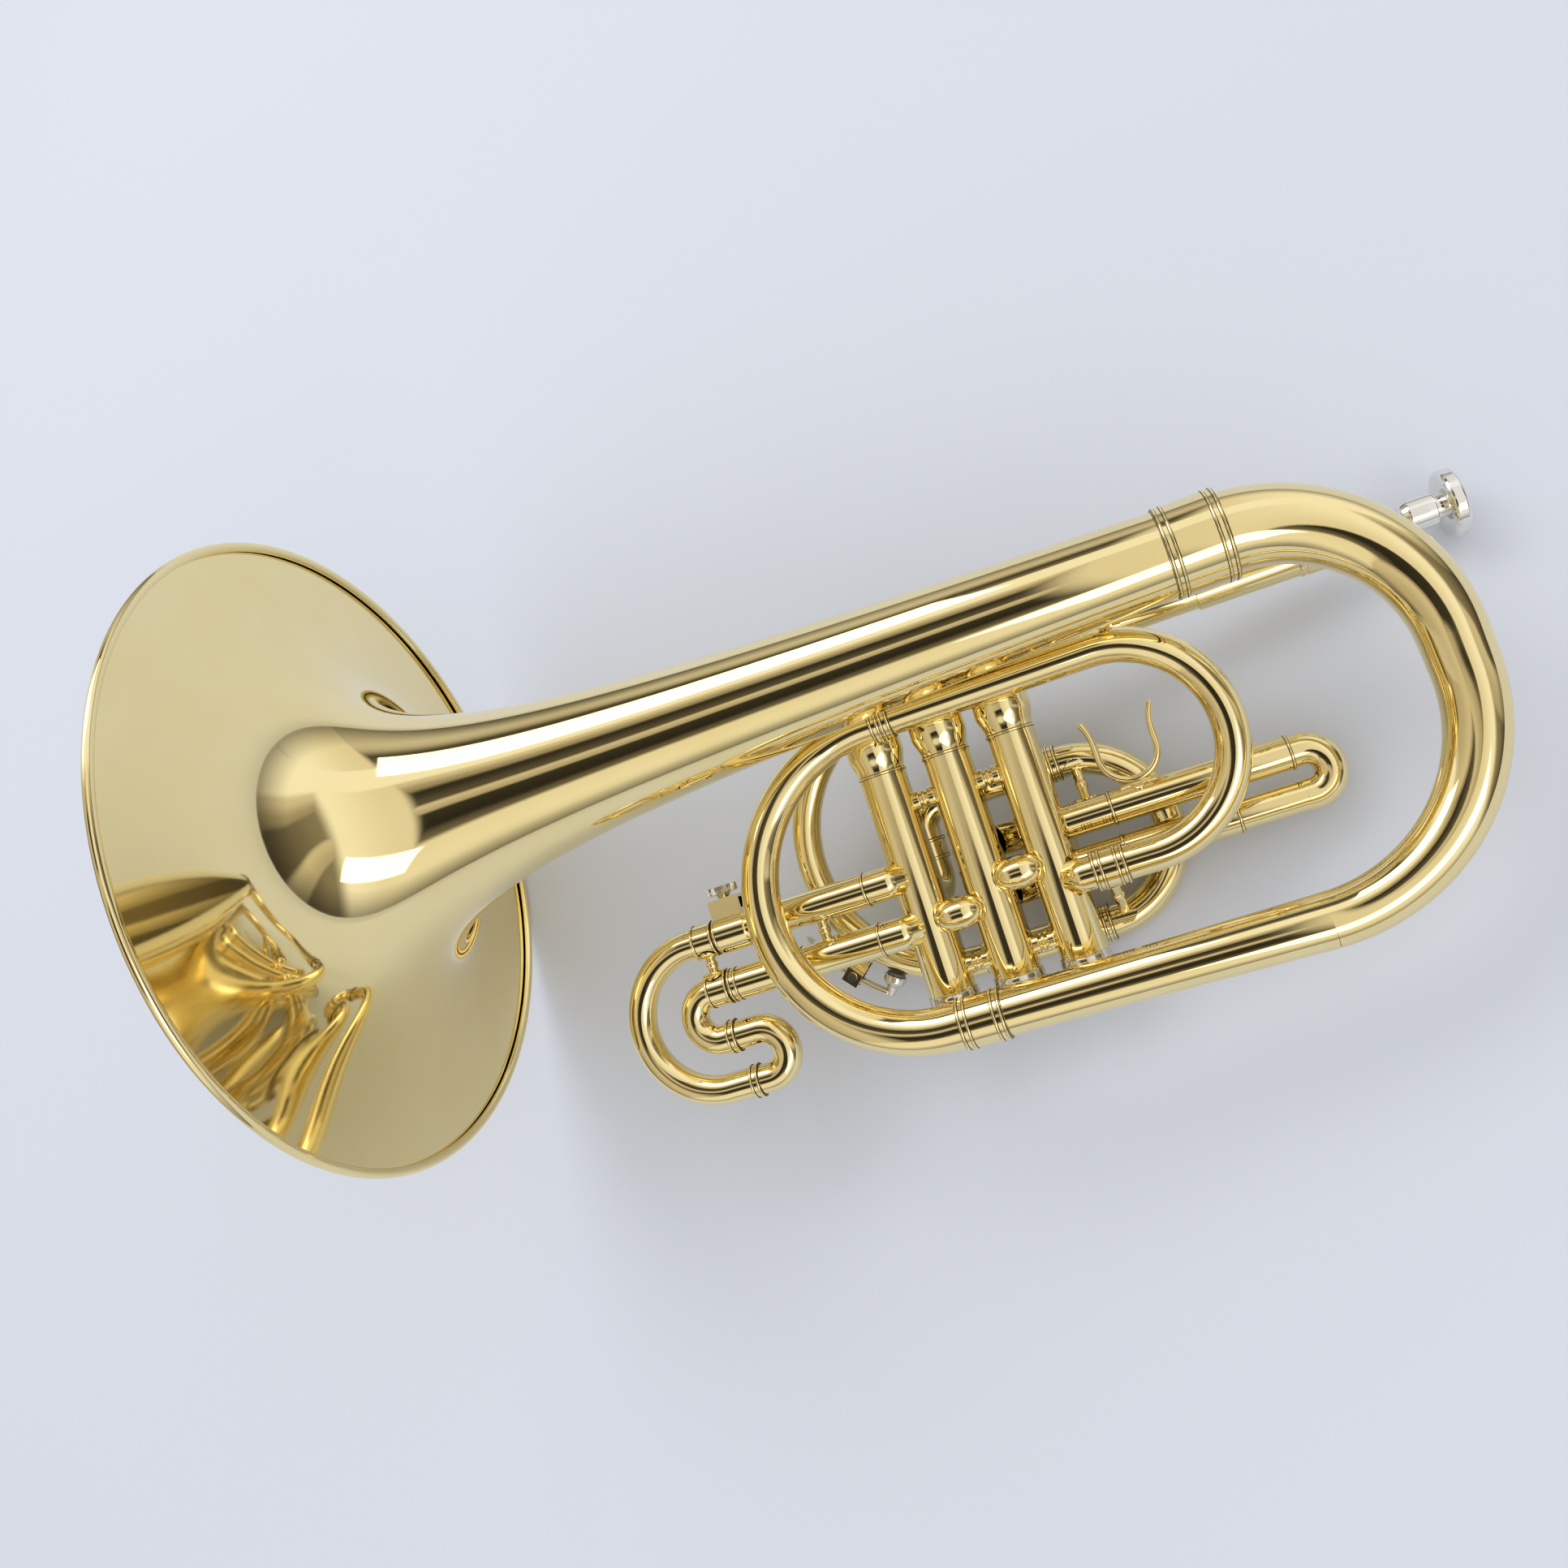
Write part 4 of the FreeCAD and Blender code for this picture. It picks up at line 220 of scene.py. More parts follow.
def surface(name, grid, body, finish, closed=(True, True), marks=None):
    """A mesh of quads from a grid of points. closed joins the last row to the first, and the last column
    to the first. Points that meet at a pole are merged, and edges sharper than 40 degrees stay crisp.
    marks holds 1 for each row of faces that is a dark corner: polish gathered there, and painted shade."""
    rows, columns = grid.shape[:2]
    i = np.arange(rows - (not closed[0]))[:, None]
    j = np.arange(columns - (not closed[1]))[None, :]
    near, far = i * columns, (i + 1) % rows * columns
    step = (j + 1) % columns
    faces = np.stack(np.broadcast_arrays(near + j, near + step, far + step, far + j), -1).reshape(-1, 4)
    mesh = bpy.data.meshes.new(name)
    mesh.from_pydata(lying(grid.reshape(-1, 3)).tolist(), [], faces.tolist())
    mesh.materials.append(finish)
    # The marked rows get the dark corner brass, partly polish residue and partly painted crevice shade.
    if marks is not None:
        mesh.materials.append(polish_and_painted_shade_brass)
        mesh.polygons.foreach_set("material_index", np.repeat(marks[:len(i)].astype(np.int32), len(j[0])))
    shell = bmesh.new()
    shell.from_mesh(mesh)
    bmesh.ops.remove_doubles(shell, verts=shell.verts, dist=1e-6)
    bmesh.ops.recalc_face_normals(shell, faces=shell.faces)
    shell.to_mesh(mesh)
    shell.free()
    mesh.polygons.foreach_set("use_smooth", np.ones(len(mesh.polygons), bool))
    mesh.set_sharp_from_angle(angle=np.radians(40))
    piece = bpy.data.objects.new(name, mesh)
    scene.collection.objects.link(piece)
    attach(piece, body)
    return piece


def circle(profile, start, along, sides=64):
    """A body of revolution: each profile point (distance along, radius) becomes a ring round the axis."""
    profile = np.asarray(profile, float)
    along = np.asarray(along, float) / np.linalg.norm(along)
    side = np.cross(along, (0.2, 0.35, 0.91))
    side /= np.linalg.norm(side)
    angle = np.linspace(0, 2 * np.pi, sides, endpoint=False)
    ring = np.cos(angle)[:, None] * side + np.sin(angle)[:, None] * np.cross(along, side)
    return np.asarray(start, float) + profile[:, None, :1] * along + profile[:, None, 1:2] * ring


def turned(name, profile, start, along, body, finish=brass, sides=64):
    """A turned piece. A profile that starts and ends on the axis closes there; any other is a loop. A third value of 1
    in the profile marks the start of a dark corner, browned by polish and painted with shade."""
    profile = np.asarray(profile, float)
    marks = profile[:, 2] if profile.shape[1] == 3 else None
    return surface(name, circle(profile[:, :2], start, along, sides), body, finish, (profile[0, 1] > 1e-6, True), marks)


def flare(x):
    """The bell's outer radius: the mouth's radius times a power of the distance from the mouth."""
    return 133.5 * (4.8 / (4.8 + x)) ** 0.484 - 0.8 * (x / 347) ** 4


x = 0.1443 + 346.8557 * np.linspace(0, 1, 70) ** 2.6
slope = (flare(x + 1e-4) - flare(x - 1e-4)) / 2e-4
tilt = np.stack([-slope, np.ones_like(x)], 1) / np.hypot(slope, 1)[:, None]
outside = np.stack([x, flare(x)], 1)
inside = outside - 0.6 * tilt
inside[-1] = (347, flare(347) - 0.6)
bead_turn = np.radians(np.linspace(180, -105, 24))
bead = np.stack([1.446 + 1.9 * np.cos(bead_turn), 131.6 + 1.9 * np.sin(bead_turn)], 1)
bell = turned("bell_sheet", np.vstack([inside[::-1], bead, outside[1:]]), (0, 0, 0), (1, 0, 0), "horn", sides=160)
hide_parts("bell")


# ---- Stem ferrule: a drawn brass sleeve soldered over the joint of bell and tail bow, with a pair of
# turned rings at each end.
def ring(at, outer):
    """A raised ring 0.9 mm wide with a shallow groove at each side: distance along, radius and mark. The marked rows,
    the grooves and the ring's flanks, are dark brass with painted shade and polish residue.
    """
    return [(at + run, outer + rise, mark) for run, rise, mark in (
        (-0.28, 0.0, 0), (-0.2, 0.0, 1), (-0.02, -0.05, 1), (0.0, 0.0, 1), (0.08, 0.34, 0), (0.24, 0.45, 0),
        (0.66, 0.45, 0), (0.82, 0.34, 1), (0.9, 0.0, 1), (0.92, -0.05, 1), (1.1, 0.0, 0), (1.18, 0.0, 0))]


def beaded(length, bore, outer, rings):
    """A sleeve's loop of profile points, with dark ends, painted shade and polish residue, and a ring at each place in
    rings. A ring that is close to an end has no groove on that side."""
    points = [(0.0, bore, 1), (0.0, outer - 0.12, 1), (0.12, outer, 0)]
    for at in rings:
        points += [q for q in ring(at, outer) if 0.13 < q[0] < length - 0.13]
    return points + [(length - 0.12, outer, 1), (length, outer - 0.12, 1), (length, bore, 0)]


def pairs(length):
    """Where the four rings of a ferrule start: two at each end, 2.6 mm apart."""
    return (0.4, 3.0, length - 3.9, length - 1.3)


joint = turned("stem_ferrule_rings", beaded(22.0, 16.03, 16.78, pairs(22.0)), (344, 0, 0), (1, 0, 0), "horn", sides=96)
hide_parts("stem_ferrule")


# ---- Tail bow: a tapered tube bent back to the front, drawn over a mandrel and bent while full of pitch.
def line(a, b, points=2):
    """Points evenly along a straight run."""
    return np.linspace(a, b, points)


def arc(centre, start, ahead, radius, sweep=180, step=4):
    """Points on a circle: it leaves the centre towards start, turns towards ahead, and sweeps in degrees."""
    u, v = (np.asarray(d, float) / np.linalg.norm(d) for d in (start, ahead))
    angle = np.radians(np.linspace(0, sweep, int(sweep / step) + 1))[:, None]
    return np.asarray(centre, float) + radius * (np.cos(angle) * u + np.sin(angle) * v)


def route(*parts):
    """Runs and arcs as one path, without the points that neighbours share."""
    path = np.vstack(parts)
    keep = np.r_[True, np.linalg.norm(np.diff(path, axis=0), axis=1) > 1e-3]
    return path[keep]


def tube(name, path, radius, body, across=(0, 0, 1), wall=0.6, finish=brass, sides=56):
    """A bent tube: circles square to a flat path, outside from start to end and inside back again. across
    is the direction square to the path's plane. With no wall it is a solid wire, closed at its ends."""
    across = np.asarray(across, float) / np.linalg.norm(across)
    step = np.diff(path, axis=0)
    step /= np.linalg.norm(step, axis=1)[:, None]
    ahead = np.vstack([step[:1], step[:-1] + step[1:], step[-1:]])
    ahead /= np.linalg.norm(ahead, axis=1)[:, None]
    out = np.cross(ahead, across)
    radius = np.broadcast_to(np.asarray(radius, float), len(path))
    centres, outs, radii = path, out, radius
    if wall:
        centres, outs = np.vstack([path, path[::-1]]), np.vstack([out, out[::-1]])
        radii = np.concatenate([radius, radius[::-1] - wall])
    angle = np.linspace(0, 2 * np.pi, sides, endpoint=False)[None, :, None]
    grid = centres[:, None] + radii[:, None, None] * (np.cos(angle) * outs[:, None] + np.sin(angle) * across)
    return surface(name, grid, body, finish, (wall > 0, True))


def way_along(path):
    """The distance run at each point of a path."""
    return np.r_[0, np.cumsum(np.linalg.norm(np.diff(path, axis=0), axis=1))]


path = route(line((347.1, 0, 0), (364.5, 0, 0)), arc((364.5, -58, 0), (0, 1, 0), (1, 0, 0), 58, 90, 3),
             line((422.5, -58, 0), (422.5, -68.7, 0), 4), arc((354, -68.7, 0), (1, 0, 0), (0, -1, 0), 68.5, 90, 3))
left = 1 - np.clip((way_along(path) - 17.4) / (way_along(path)[-1] - 17.4), 0, 1)
tail = tube("tail_bow_tube", path, 9.8 + 5.2 * left ** 1.8, "horn", sides=88)
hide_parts("tail_bow")

# ---- Lower tube: a drawn cone that runs forward under the horn into the lower ferrule.
low = -137.2
path = route(line((230.5, low, 0), (240, low, 0)), line((240, low, 0), (354, low, 0), 12))
lower = tube("lower_tube_cone", path, np.interp(path[:, 0], (240, 354), (8.5, 9.8)), "horn", sides=72)
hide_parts("lower_tube")
joint = turned("lower_ferrule_rings", beaded(17.0, 8.53, 9.28, pairs(17.0)), (222, low, 0), (1, 0, 0), "horn", sides=80)
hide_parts("lower_ferrule")

# ---- Front bow, top tube and rear bow: the wrap from the lower tube round the front, back over the
# valves and down into valve 1. Each bow is a bent tube, and ferrules join them.
foot, head = np.array([218.5, low, 0]), np.array([218.5, -21.03, -19.47])
rise = head - foot
path = route(line((230.5, low, 0), foot), arc((foot + head) / 2, -rise, (-1, 0, 0), np.linalg.norm(rise) / 2, 180, 3),
             line(head, (225.0, -21.03, -19.47)))
turn_way = np.clip((way_along(path) - 12) / (way_along(path)[-1] - 18.5), 0, 1)
front = tube("front_bow_tube", path, 8.5 - 1.75 * turn_way, "horn", np.cross((1, 0, 0), rise), sides=72)
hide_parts("front_bow")
top = tube("top_tube_run", line((225, -21.03, -19.47), (307.5, -21.03, -19.47), 9), 6.75, "horn", sides=64)
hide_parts("top_tube")
joint = turned("front_ferrule_rings", beaded(8.5, 6.78, 7.53, pairs(8.5)), (220.75, -21.03, -19.47), (1, 0, 0), "horn")
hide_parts("top_tube_ferrules")
turned("branch_ferrule_rings", beaded(13.0, 6.78, 7.53, pairs(13.0)), (283.0, -100.5, -28.5), (1, 0, 0), "horn")
high, branch = np.array([307.5, -21.03, -19.47]), np.array([307.5, -100.5, -28.5])
path = route(arc((high + branch) / 2, high - branch, (1, 0, 0), np.linalg.norm(high - branch) / 2, 180, 3),
             line(branch, (289.5, -100.5, -28.5)))
rear = tube("rear_bow_tube", path, 6.75, "horn", np.cross((1, 0, 0), high - branch), sides=64)
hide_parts("rear_bow")

# ---- Valves: each casing is a brass tube that swells to the top, with a turned ring below the swell.
# Under it is a domed cap with a plain band and a knurled nickel rim; on top are a cap, a stem and a button.
nickel = polished("polished nickel silver", "#E4E1DA", "#D8D3C8", 0.10, 0.0)
VALVES = {1: 269.3, 2: 242.45, 3: 215.6}


def knurled(profile, start, along, teeth, depth):
    """A turned grid whose third profile value says how deep the knurling cuts: a ripple round the axis."""
    profile = np.asarray(profile, float)
    sides = teeth * 4
    ripple = 0.5 + 0.5 * np.cos(teeth * np.linspace(0, 2 * np.pi, sides, endpoint=False))
    grid = circle(profile[:, :2], start, along, sides)
    axis = np.asarray(start, float) + profile[:, None, :1] * (np.asarray(along, float) / np.linalg.norm(along))
    shrink = 1 - depth * profile[:, 2:3] * ripple[None] / np.maximum(profile[:, 1:2], 1e-6)
    return axis + (grid - axis) * shrink[..., None]


def rounded(profile, size=0.25):
    """Takes the corners off a profile: each inner point becomes five, so that the edge is a small curve and
    the flats beside it stay flat."""
    p = np.asarray(profile, float)
    before, after = p[:-2] - p[1:-1], p[2:] - p[1:-1]
    here = p[1:-1]
    lengths = [np.linalg.norm(d, axis=1)[:, None] for d in (before, after)]
    a, b = (d / n * np.minimum(size, n * 0.3) for d, n in zip((before, after), lengths))
    five = np.stack([here + a * 1.5, here + a, here + (a + b) * 0.28, here + b, here + b * 1.5], 1)
    return np.vstack([p[:1], five.reshape(-1, p.shape[1]), p[-1:]])


for number, x in VALVES.items():
    foot = (x, -129.4, -38.5)
    swell = [(90.6 + 8.3 * t, 9.7 + 1.8 * (3 * t * t - 2 * t ** 3), 0) for t in np.linspace(0.04, 1, 14)]
    casing = turned("valve_%d_casing" % number, [(0, 8.9, 0), (0, 9.7, 0)] + ring(89.4, 9.7) + swell
                    + [(120.4, 11.5, 0), (120.4, 10.4, 0), (98.8, 10.4, 0), (90.4, 8.9, 0)], foot, (0, 1, 0), "horn",
                    sides=80)
    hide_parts("valve_casing_%d" % number)
    cap = surface("valve_%d_bottom_cap" % number, knurled(
        [(0, 0, 0), (0.0, 3.0, 0), (0.35, 6.2, 0), (1.1, 8.8, 0), (1.9, 10.2, 0), (2.0, 10.9, 0), (2.15, 11.2, 1),
         (3.3, 11.25, 1), (4.4, 11.2, 1), (4.6, 10.9, 0), (4.65, 10.3, 0), (5.2, 10.35, 0), (6.6, 10.35, 0),
         (7.0, 10.2, 0), (8.5, 10.2, 0), (8.6, 10.1, 0), (8.6, 8.9, 0), (2.1, 8.9, 0), (2.1, 0, 0)],
        (x, -138.0, -38.5), (0, 1, 0), 56, 0.32), "horn", nickel, (False, True))
    if number == 1:
        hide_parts("bottom_caps")
    lid = turned("valve_%d_top_cap" % number, rounded([
        (0, 2.8), (0, 10.37), (3.9, 10.37), (4.0, 11.8), (4.6, 12.4), (8.2, 12.4), (8.8, 11.6), (9.6, 9.4),
        (10.6, 6.6), (11.0, 6.2), (11.0, 2.8)]), (x, -13.0, -38.5), (0, 1, 0), "horn", sides=72)
    if number == 1:
        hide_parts("top_caps")
    button = turned("valve_%d_button" % number, rounded([
        (0, 0), (0, 4.1), (1.2, 4.5), (1.9, 7.2), (2.6, 7.5), (3.5, 7.5), (3.9, 6.9), (4.0, 6.0), (4.0, 0)]),
        (x, 18.4, -38.5), (0, 1, 0), "piston_%d" % number, sides=56)
    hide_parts("finger_button_%d" % number)

# ---- Casing braces: short turned spools of brass that tie the three casings together.
for left_x in (VALVES[3], VALVES[2]):
    for y in (-54.0, -121.2):
        spool = rounded([(0, 0), (0, 4.0), (2.62, 4.0), (3.02, 2.8), (3.62, 2.7), (3.92, 3.6), (4.47, 3.75), (5.02, 3.6),
                         (5.32, 2.7), (5.92, 2.8), (6.32, 4.0), (8.94, 4.0), (8.94, 0)], 0.3)
        spool = turned("spool_%d_%d" % (left_x, -y), spool, (left_x + 8.955, y, -38.5), (1, 0, 0), "horn", sides=48)
        if (left_x, y) == (VALVES[3], -54.0):
            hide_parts("casing_braces")


# ---- Knuckles, crossovers, posts and saddles: cast or drawn fittings, soldered on. The posts, braces and saddles keep the CAD model's own shapes, shown smooth; the crossovers and knuckles are drawn anew below.
def shown_smooth(node, finish):
    """Gives a CAD node its finish. Its loose triangles are joined, and split again at its real edges."""
    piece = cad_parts[node]
    piece.data.materials.clear()
    piece.data.materials.append(finish)
    piece.data.polygons.foreach_set("material_index", np.zeros(len(piece.data.polygons), np.int32))
    piece.data.polygons.foreach_set("use_smooth", np.ones(len(piece.data.polygons), bool))
    joined = piece.modifiers.new("joined", "WELD")
    joined.merge_threshold = 5e-6
    split = piece.modifiers.new("edges", "EDGE_SPLIT")
    split.split_angle = np.radians(28)
    return piece


def hugging(grid):
    """Pushes the points that fall inside a valve casing out to its wall, square to the casing's axis."""
    for x in VALVES.values():
        aside = grid[..., (0, 2)] - (x, -38.5)
        far = np.linalg.norm(aside, axis=-1, keepdims=True)
        grid[..., (0, 2)] = (x, -38.5) + aside * np.maximum(1, 9.4 / np.maximum(far, 1e-6))
    return grid


def dome(name, start, end, radius, round_start, finish=brass):
    """A short tube with a ball end: circles from start to end, and beyond each round end by its radius
    along a quarter circle."""
    start, end = np.asarray(start, float), np.asarray(end, float)
    length = np.linalg.norm(end - start)
    swing = np.linspace(0, np.pi / 2, 13)
    first = [(-radius * np.cos(a), radius * np.sin(a)) for a in swing] if round_start else [(0, 0), (0, radius)]
    middle = [(length * t, radius) for t in (0.02, 0.35, 0.65, 0.98)]
    last = [(length + radius * np.sin(a), radius * np.cos(a)) for a in swing]
    grid = circle(first + middle + last, start, end - start, 56)
    return surface(name, hugging(grid), "horn", finish, (False, True))


# Crossovers: two brass half shells pressed and brazed to an oval bean, which bridges two casings.
for pair, y in ((("3_2"), -100.6), (("2_1"), -92.3)):
    between = (VALVES[int(pair[0])] + VALVES[int(pair[2])]) / 2
    t = np.sin(np.linspace(-np.pi / 2, np.pi / 2, 41))
    bean = np.stack([9.6 + 9.6 * t, 6.5 * (1 - np.abs(t) ** 2.3) ** 0.5], 1)
    bean = surface("crossover_bean_" + pair, hugging(circle(bean, (between - 9.6, y, -29.2), (1, 0, 0), 60)), "horn", brass,
                   (False, True))
    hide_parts("crossover_" + pair)

# Knuckles: short brass elbows with a ball corner, from a casing's side to the tube beside it.
for name, x_joint, x_corner, y, z, number, node in (
        ("branch_elbow", 283.0, 279.1, -100.5, -28.5, 1, "branch_knuckle"),
        ("third_upper_elbow", 197.5, 205.7, -81.3, -29.0, 3, "third_slide_knuckles"),
        ("third_lower_elbow", 197.5, 205.7, -101.8, -29.0, 3, "")):
    corner = np.array([x_corner, y, z])
    inward = np.array([VALVES[number], y, -38.5]) - corner
    arm = dome(name + "_arm", (x_joint, y, z), corner, 6.5, False)
    dome(name + "_root", corner, corner + inward * 0.34, 6.5, True)
    if node:
        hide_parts(node)

for node in ("third_sleeve_brace",
             "third_slide_brace", "slide_braces", "stem_brace", "lyre_holder", "water_key_saddle",
             "first_slide_port"):
    shown_smooth(node, brass)
for node in ("piston_1", "piston_2", "piston_3", "water_key_screw"):
    shown_smooth(node, nickel)

# ---- Inside the valves: the spring round each stem and the guide under it, seen only through the cap.
steel = polished("bright spring steel", "#C9C9CB", "#B6B6BA", 0.22, 0.0)
nylon, tree = material("moulded natural nylon")
where = add(tree, "ShaderNodeTexCoord")
# A faint moulding cloud about 2 mm across.
mottle = add(tree, "ShaderNodeTexNoise", {"Scale": 500.0}, {"Vector": where.outputs["Object"]})
tone = add(tree, "ShaderNodeMix", {"data_type": "RGBA", 6: linear("#E9E5D8"), 7: linear("#DDD8C8")},
           {0: mottle.outputs["Fac"]})
shader = add(tree, "ShaderNodeBsdfPrincipled", {"Roughness": 0.45, "IOR": 1.53}, {"Base Color": tone.outputs[2]})
add(tree, "ShaderNodeOutputMaterial", {}, {"Surface": shader.outputs[0]})
shown_smooth("valve_guides", nylon)


def coil(name, foot, length, radius, wire, turns, body, finish):
    """A wire wound round Y: its centre climbs evenly with the angle, and small circles stand on that line.
    The first and last turns lie flat, and the wire tapers to a point where it ends."""
    angle = np.linspace(0, 2 * np.pi * turns, 24 * turns + 1)[:, None]
    part = angle / angle[-1]
    climb = wire + (length - 2 * wire) * (part - np.sin(2 * np.pi * part) * 0.09)
    round_wire = np.linspace(0, 2 * np.pi, 12, endpoint=False)[None, :]
    thick = wire * np.clip(np.minimum(part, 1 - part) * 80, 0, 1) ** 0.5
    out = radius + thick * np.cos(round_wire)
    grid = np.stack([out * np.cos(angle), climb + thick * np.sin(round_wire), out * np.sin(angle)], -1)
    return surface(name, grid + np.asarray(foot, float), body, finish, (False, True))


for number, x in VALVES.items():
    spring = coil("valve_%d_spring" % number, (x, -49.25, -38.5), 32.90, 6.0, 0.4, 8, "horn", steel)
    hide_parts("valve_spring_%d" % number)
    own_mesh(spring)

# ---- Leadpipe, receiver and mouthpiece: the pipe is a drawn cone, the receiver is turned, and the
# mouthpiece is turned from solid brass, then silver plated.
lead = tube("leadpipe_run", route(line((296, -9.4, -57.5), (350, -9.4, -57.5), 6), line((350, -9.4, -57.5), (380, -9.4, -57.5))),
            [6.75] * 6 + [6.3], "horn", wall=0.8)
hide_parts("leadpipe")
socket = turned("receiver_turned", rounded([
    (26, 4.73), (26, 6.78), (0, 6.78), (0, 7.6), (39.6, 7.6), (40, 8.3), (41.2, 8.3), (41.3, 7.95), (42.3, 7.95),
    (42.4, 8.3), (48.6, 8.3), (49.6, 7.9), (50, 7.2), (50, 4.73), (26, 4.73)], 0.15)[:-1], (354, -9.4, -57.5), (1, 0, 0), "horn")
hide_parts("mouthpiece_receiver")
silver = polished("bright silver plate", "#F1EFEA", "#E8E6E1", 0.05, 0.0)
cup = turned("mouthpiece_turned", rounded([
    (64.4, 2.2), (0, 2.2), (0, 4.7), (22.3, 4.7), (34, 5.0), (48.4, 3.9), (50.9, 3.5), (52.4, 5.6), (54.6, 6.7),
    (61.4, 6.7), (64.1, 6.6), (64.4, 6.4), (64.6, 3.7), (65.4, 3.7), (65.5, 4.5), (66.2, 4.5), (66.3, 3.7),
    (66.9, 3.9), (67.4, 11.7), (68.3, 12.9), (69.2, 13.3), (72.5, 13.3), (73.5, 12.6), (74.0, 11.3), (73.8, 10.1),
    (72.8, 9.1), (70.5, 7.6), (68.4, 5.2), (66.4, 2.2)], 0.3)[1:-1], (382, -9.4, -57.5), (1, 0, 0), "mouthpiece",
    silver, 96)
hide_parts("mouthpiece")

# ---- Main slide: a bent bow whose two legs slide in fixed sleeves, and the crook and return tube that
# take the air on to valve 3.
FAR = -57.5
path = route(line((280, -9.4, FAR), (229.05, -9.4, FAR)), line((229, -9.4, FAR), (228, -9.4, FAR)),
             arc((228, -66.2, FAR), (0, 1, 0), (-1, 0, 0), 56.8, 180, 3),
             line((229, -123, FAR), (229.05, -123, FAR)), line((229.05, -123, FAR), (268, -123, FAR)))
main = tube("main_slide_bow", path, np.where(path[:, 0] > 229.01, 5.9, 6.2), "main_slide", sides=64)
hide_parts("main_slide")
upper = turned("main_upper_sleeve", beaded(66.7, 5.95, 6.55, (0.2, 65.6)), (229.3, -9.4, FAR), (1, 0, 0), "horn")
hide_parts("main_slide_sleeves")
turned("main_lower_sleeve", beaded(48.7, 5.95, 6.55, (0.2,)), (229.3, -123, FAR), (1, 0, 0), "horn")
path = route(line((278, -56.5, FAR), (282.5, -56.5, FAR)), arc((282.5, -89.75, FAR), (0, 1, 0), (1, 0, 0), 33.25, 180, 3),
             line((282.5, -123, FAR), (278, -123, FAR)))
crook = tube("main_crook_tube", path, 6.4, "horn", sides=64)
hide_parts("main_crook")
joint = turned("crook_ferrule_upper", beaded(9.0, 6.58, 7.33, pairs(9.0)), (273.5, -56.5, FAR), (1, 0, 0), "horn")
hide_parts("main_wrap_ferrules")
turned("crook_ferrule_lower", beaded(9.0, 6.58, 7.33, pairs(9.0)), (273.5, -123, FAR), (1, 0, 0), "horn")
turned("return_ferrule_rings", beaded(9.0, 6.13, 6.66, (0.3, 7.8)), (222, -79, FAR), (0, 1, 0), "horn")
path = route(line((278, -56.5, FAR), (232.5, -56.5, FAR)), arc((232.5, -67, FAR), (0, 1, 0), (-1, 0, 0), 10.5, 90, 5),
             line((222, -67, FAR), (222, -74.5, FAR)))
drop = tube("return_tube_run", path, 6.1, "horn")
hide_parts("return_tube")
into = np.array([VALVES[3] - 222, 0, 19.0])
into /= np.linalg.norm(into)
corner = np.array([222, -92, FAR])
path = route(line((222, -74.5, FAR), (222, -84, FAR)), arc(corner + (0, 8, 0) + into * 8, -into, (0, -1, 0), 8, 90, 6),
             line(corner + into * 8, corner + into * 12.5))
elbow = tube("return_elbow", path, 6.1, "horn", np.cross(into, (0, 1, 0)))
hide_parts("return_knuckle")

# ---- Water key: a cast nickel silver lever that follows the bow, with a flat spoon for the finger, a barrel
# on its pin and a cup that holds the pad.
bow_centre = np.array([228, -66.2, FAR])
t = np.linspace(0, 1, 60)[:, None]
swing = np.radians(201.5 + 34.0 * t)
v = np.linspace(0, 2 * np.pi, 28, endpoint=False)[None, :]
ends = np.clip(np.minimum(t, 1 - t) * 28, 0, 1) ** 0.5
wide = (1.7 + 2.6 / (1 + np.exp((t - 0.2) * 26))) * ends
thick = (1.6 - 0.9 / (1 + np.exp((t - 0.2) * 26))) * ends
reach = 72.5 + 1.2 * np.clip(0.22 - t, 0, 1) / 0.22 + thick * np.cos(v)
bar = bow_centre + np.stack([reach * np.cos(swing), reach * np.sin(swing), wide * np.sin(v)], -1)
bar = surface("water_key_bar", bar, "water_key", nickel, (False, True))
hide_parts("water_key_lever")
pivot = bow_centre + 72.5 * np.array([np.cos(np.radians(221.9)), np.sin(np.radians(221.9)), 0]) - (0, 0, 2.5)
turned("water_key_barrel", rounded([(0, 0), (0, 2.9), (5, 2.9), (5, 0)], 0.4), pivot, (0, 0, 1), "water_key", nickel, 40)
outward = np.array([np.cos(np.radians(235.2)), np.sin(np.radians(235.2)), 0])
turned("water_key_cup", rounded([(1.7, 0), (1.7, 4.05), (0, 4.05), (0, 4.8), (2.6, 4.8), (3.5, 4.2), (4.8, 2.5), (8.6, 1.6),
                                 (8.6, 0)], 0.3), bow_centre + 64.6 * outward, outward, "water_key", nickel, 48)

# ---- Water key pad: a small disc of grey rubber in the lever's cup, pressed on the drain.
rubber, tree = material("grey moulded rubber")
where = add(tree, "ShaderNodeTexCoord")
# Fine moulded grain about 1 mm across.
grain = add(tree, "ShaderNodeTexNoise", {"Scale": 1000.0, "Detail": 3.0}, {"Vector": where.outputs["Object"]})
tone = add(tree, "ShaderNodeMix", {"data_type": "RGBA", 6: linear("#8C8B88"), 7: linear("#6F6E6B")},
           {0: grain.outputs["Fac"]})
lift = add(tree, "ShaderNodeBump", {"Strength": 0.3, "Distance": 0.0002}, {"Height": grain.outputs["Fac"]})
shader = add(tree, "ShaderNodeBsdfPrincipled", {"Roughness": 0.7, "IOR": 1.52},
             {"Base Color": tone.outputs[2], "Normal": lift.outputs[0]})
add(tree, "ShaderNodeOutputMaterial", {}, {"Surface": shader.outputs[0]})
shown_smooth("water_key_pad", rubber)

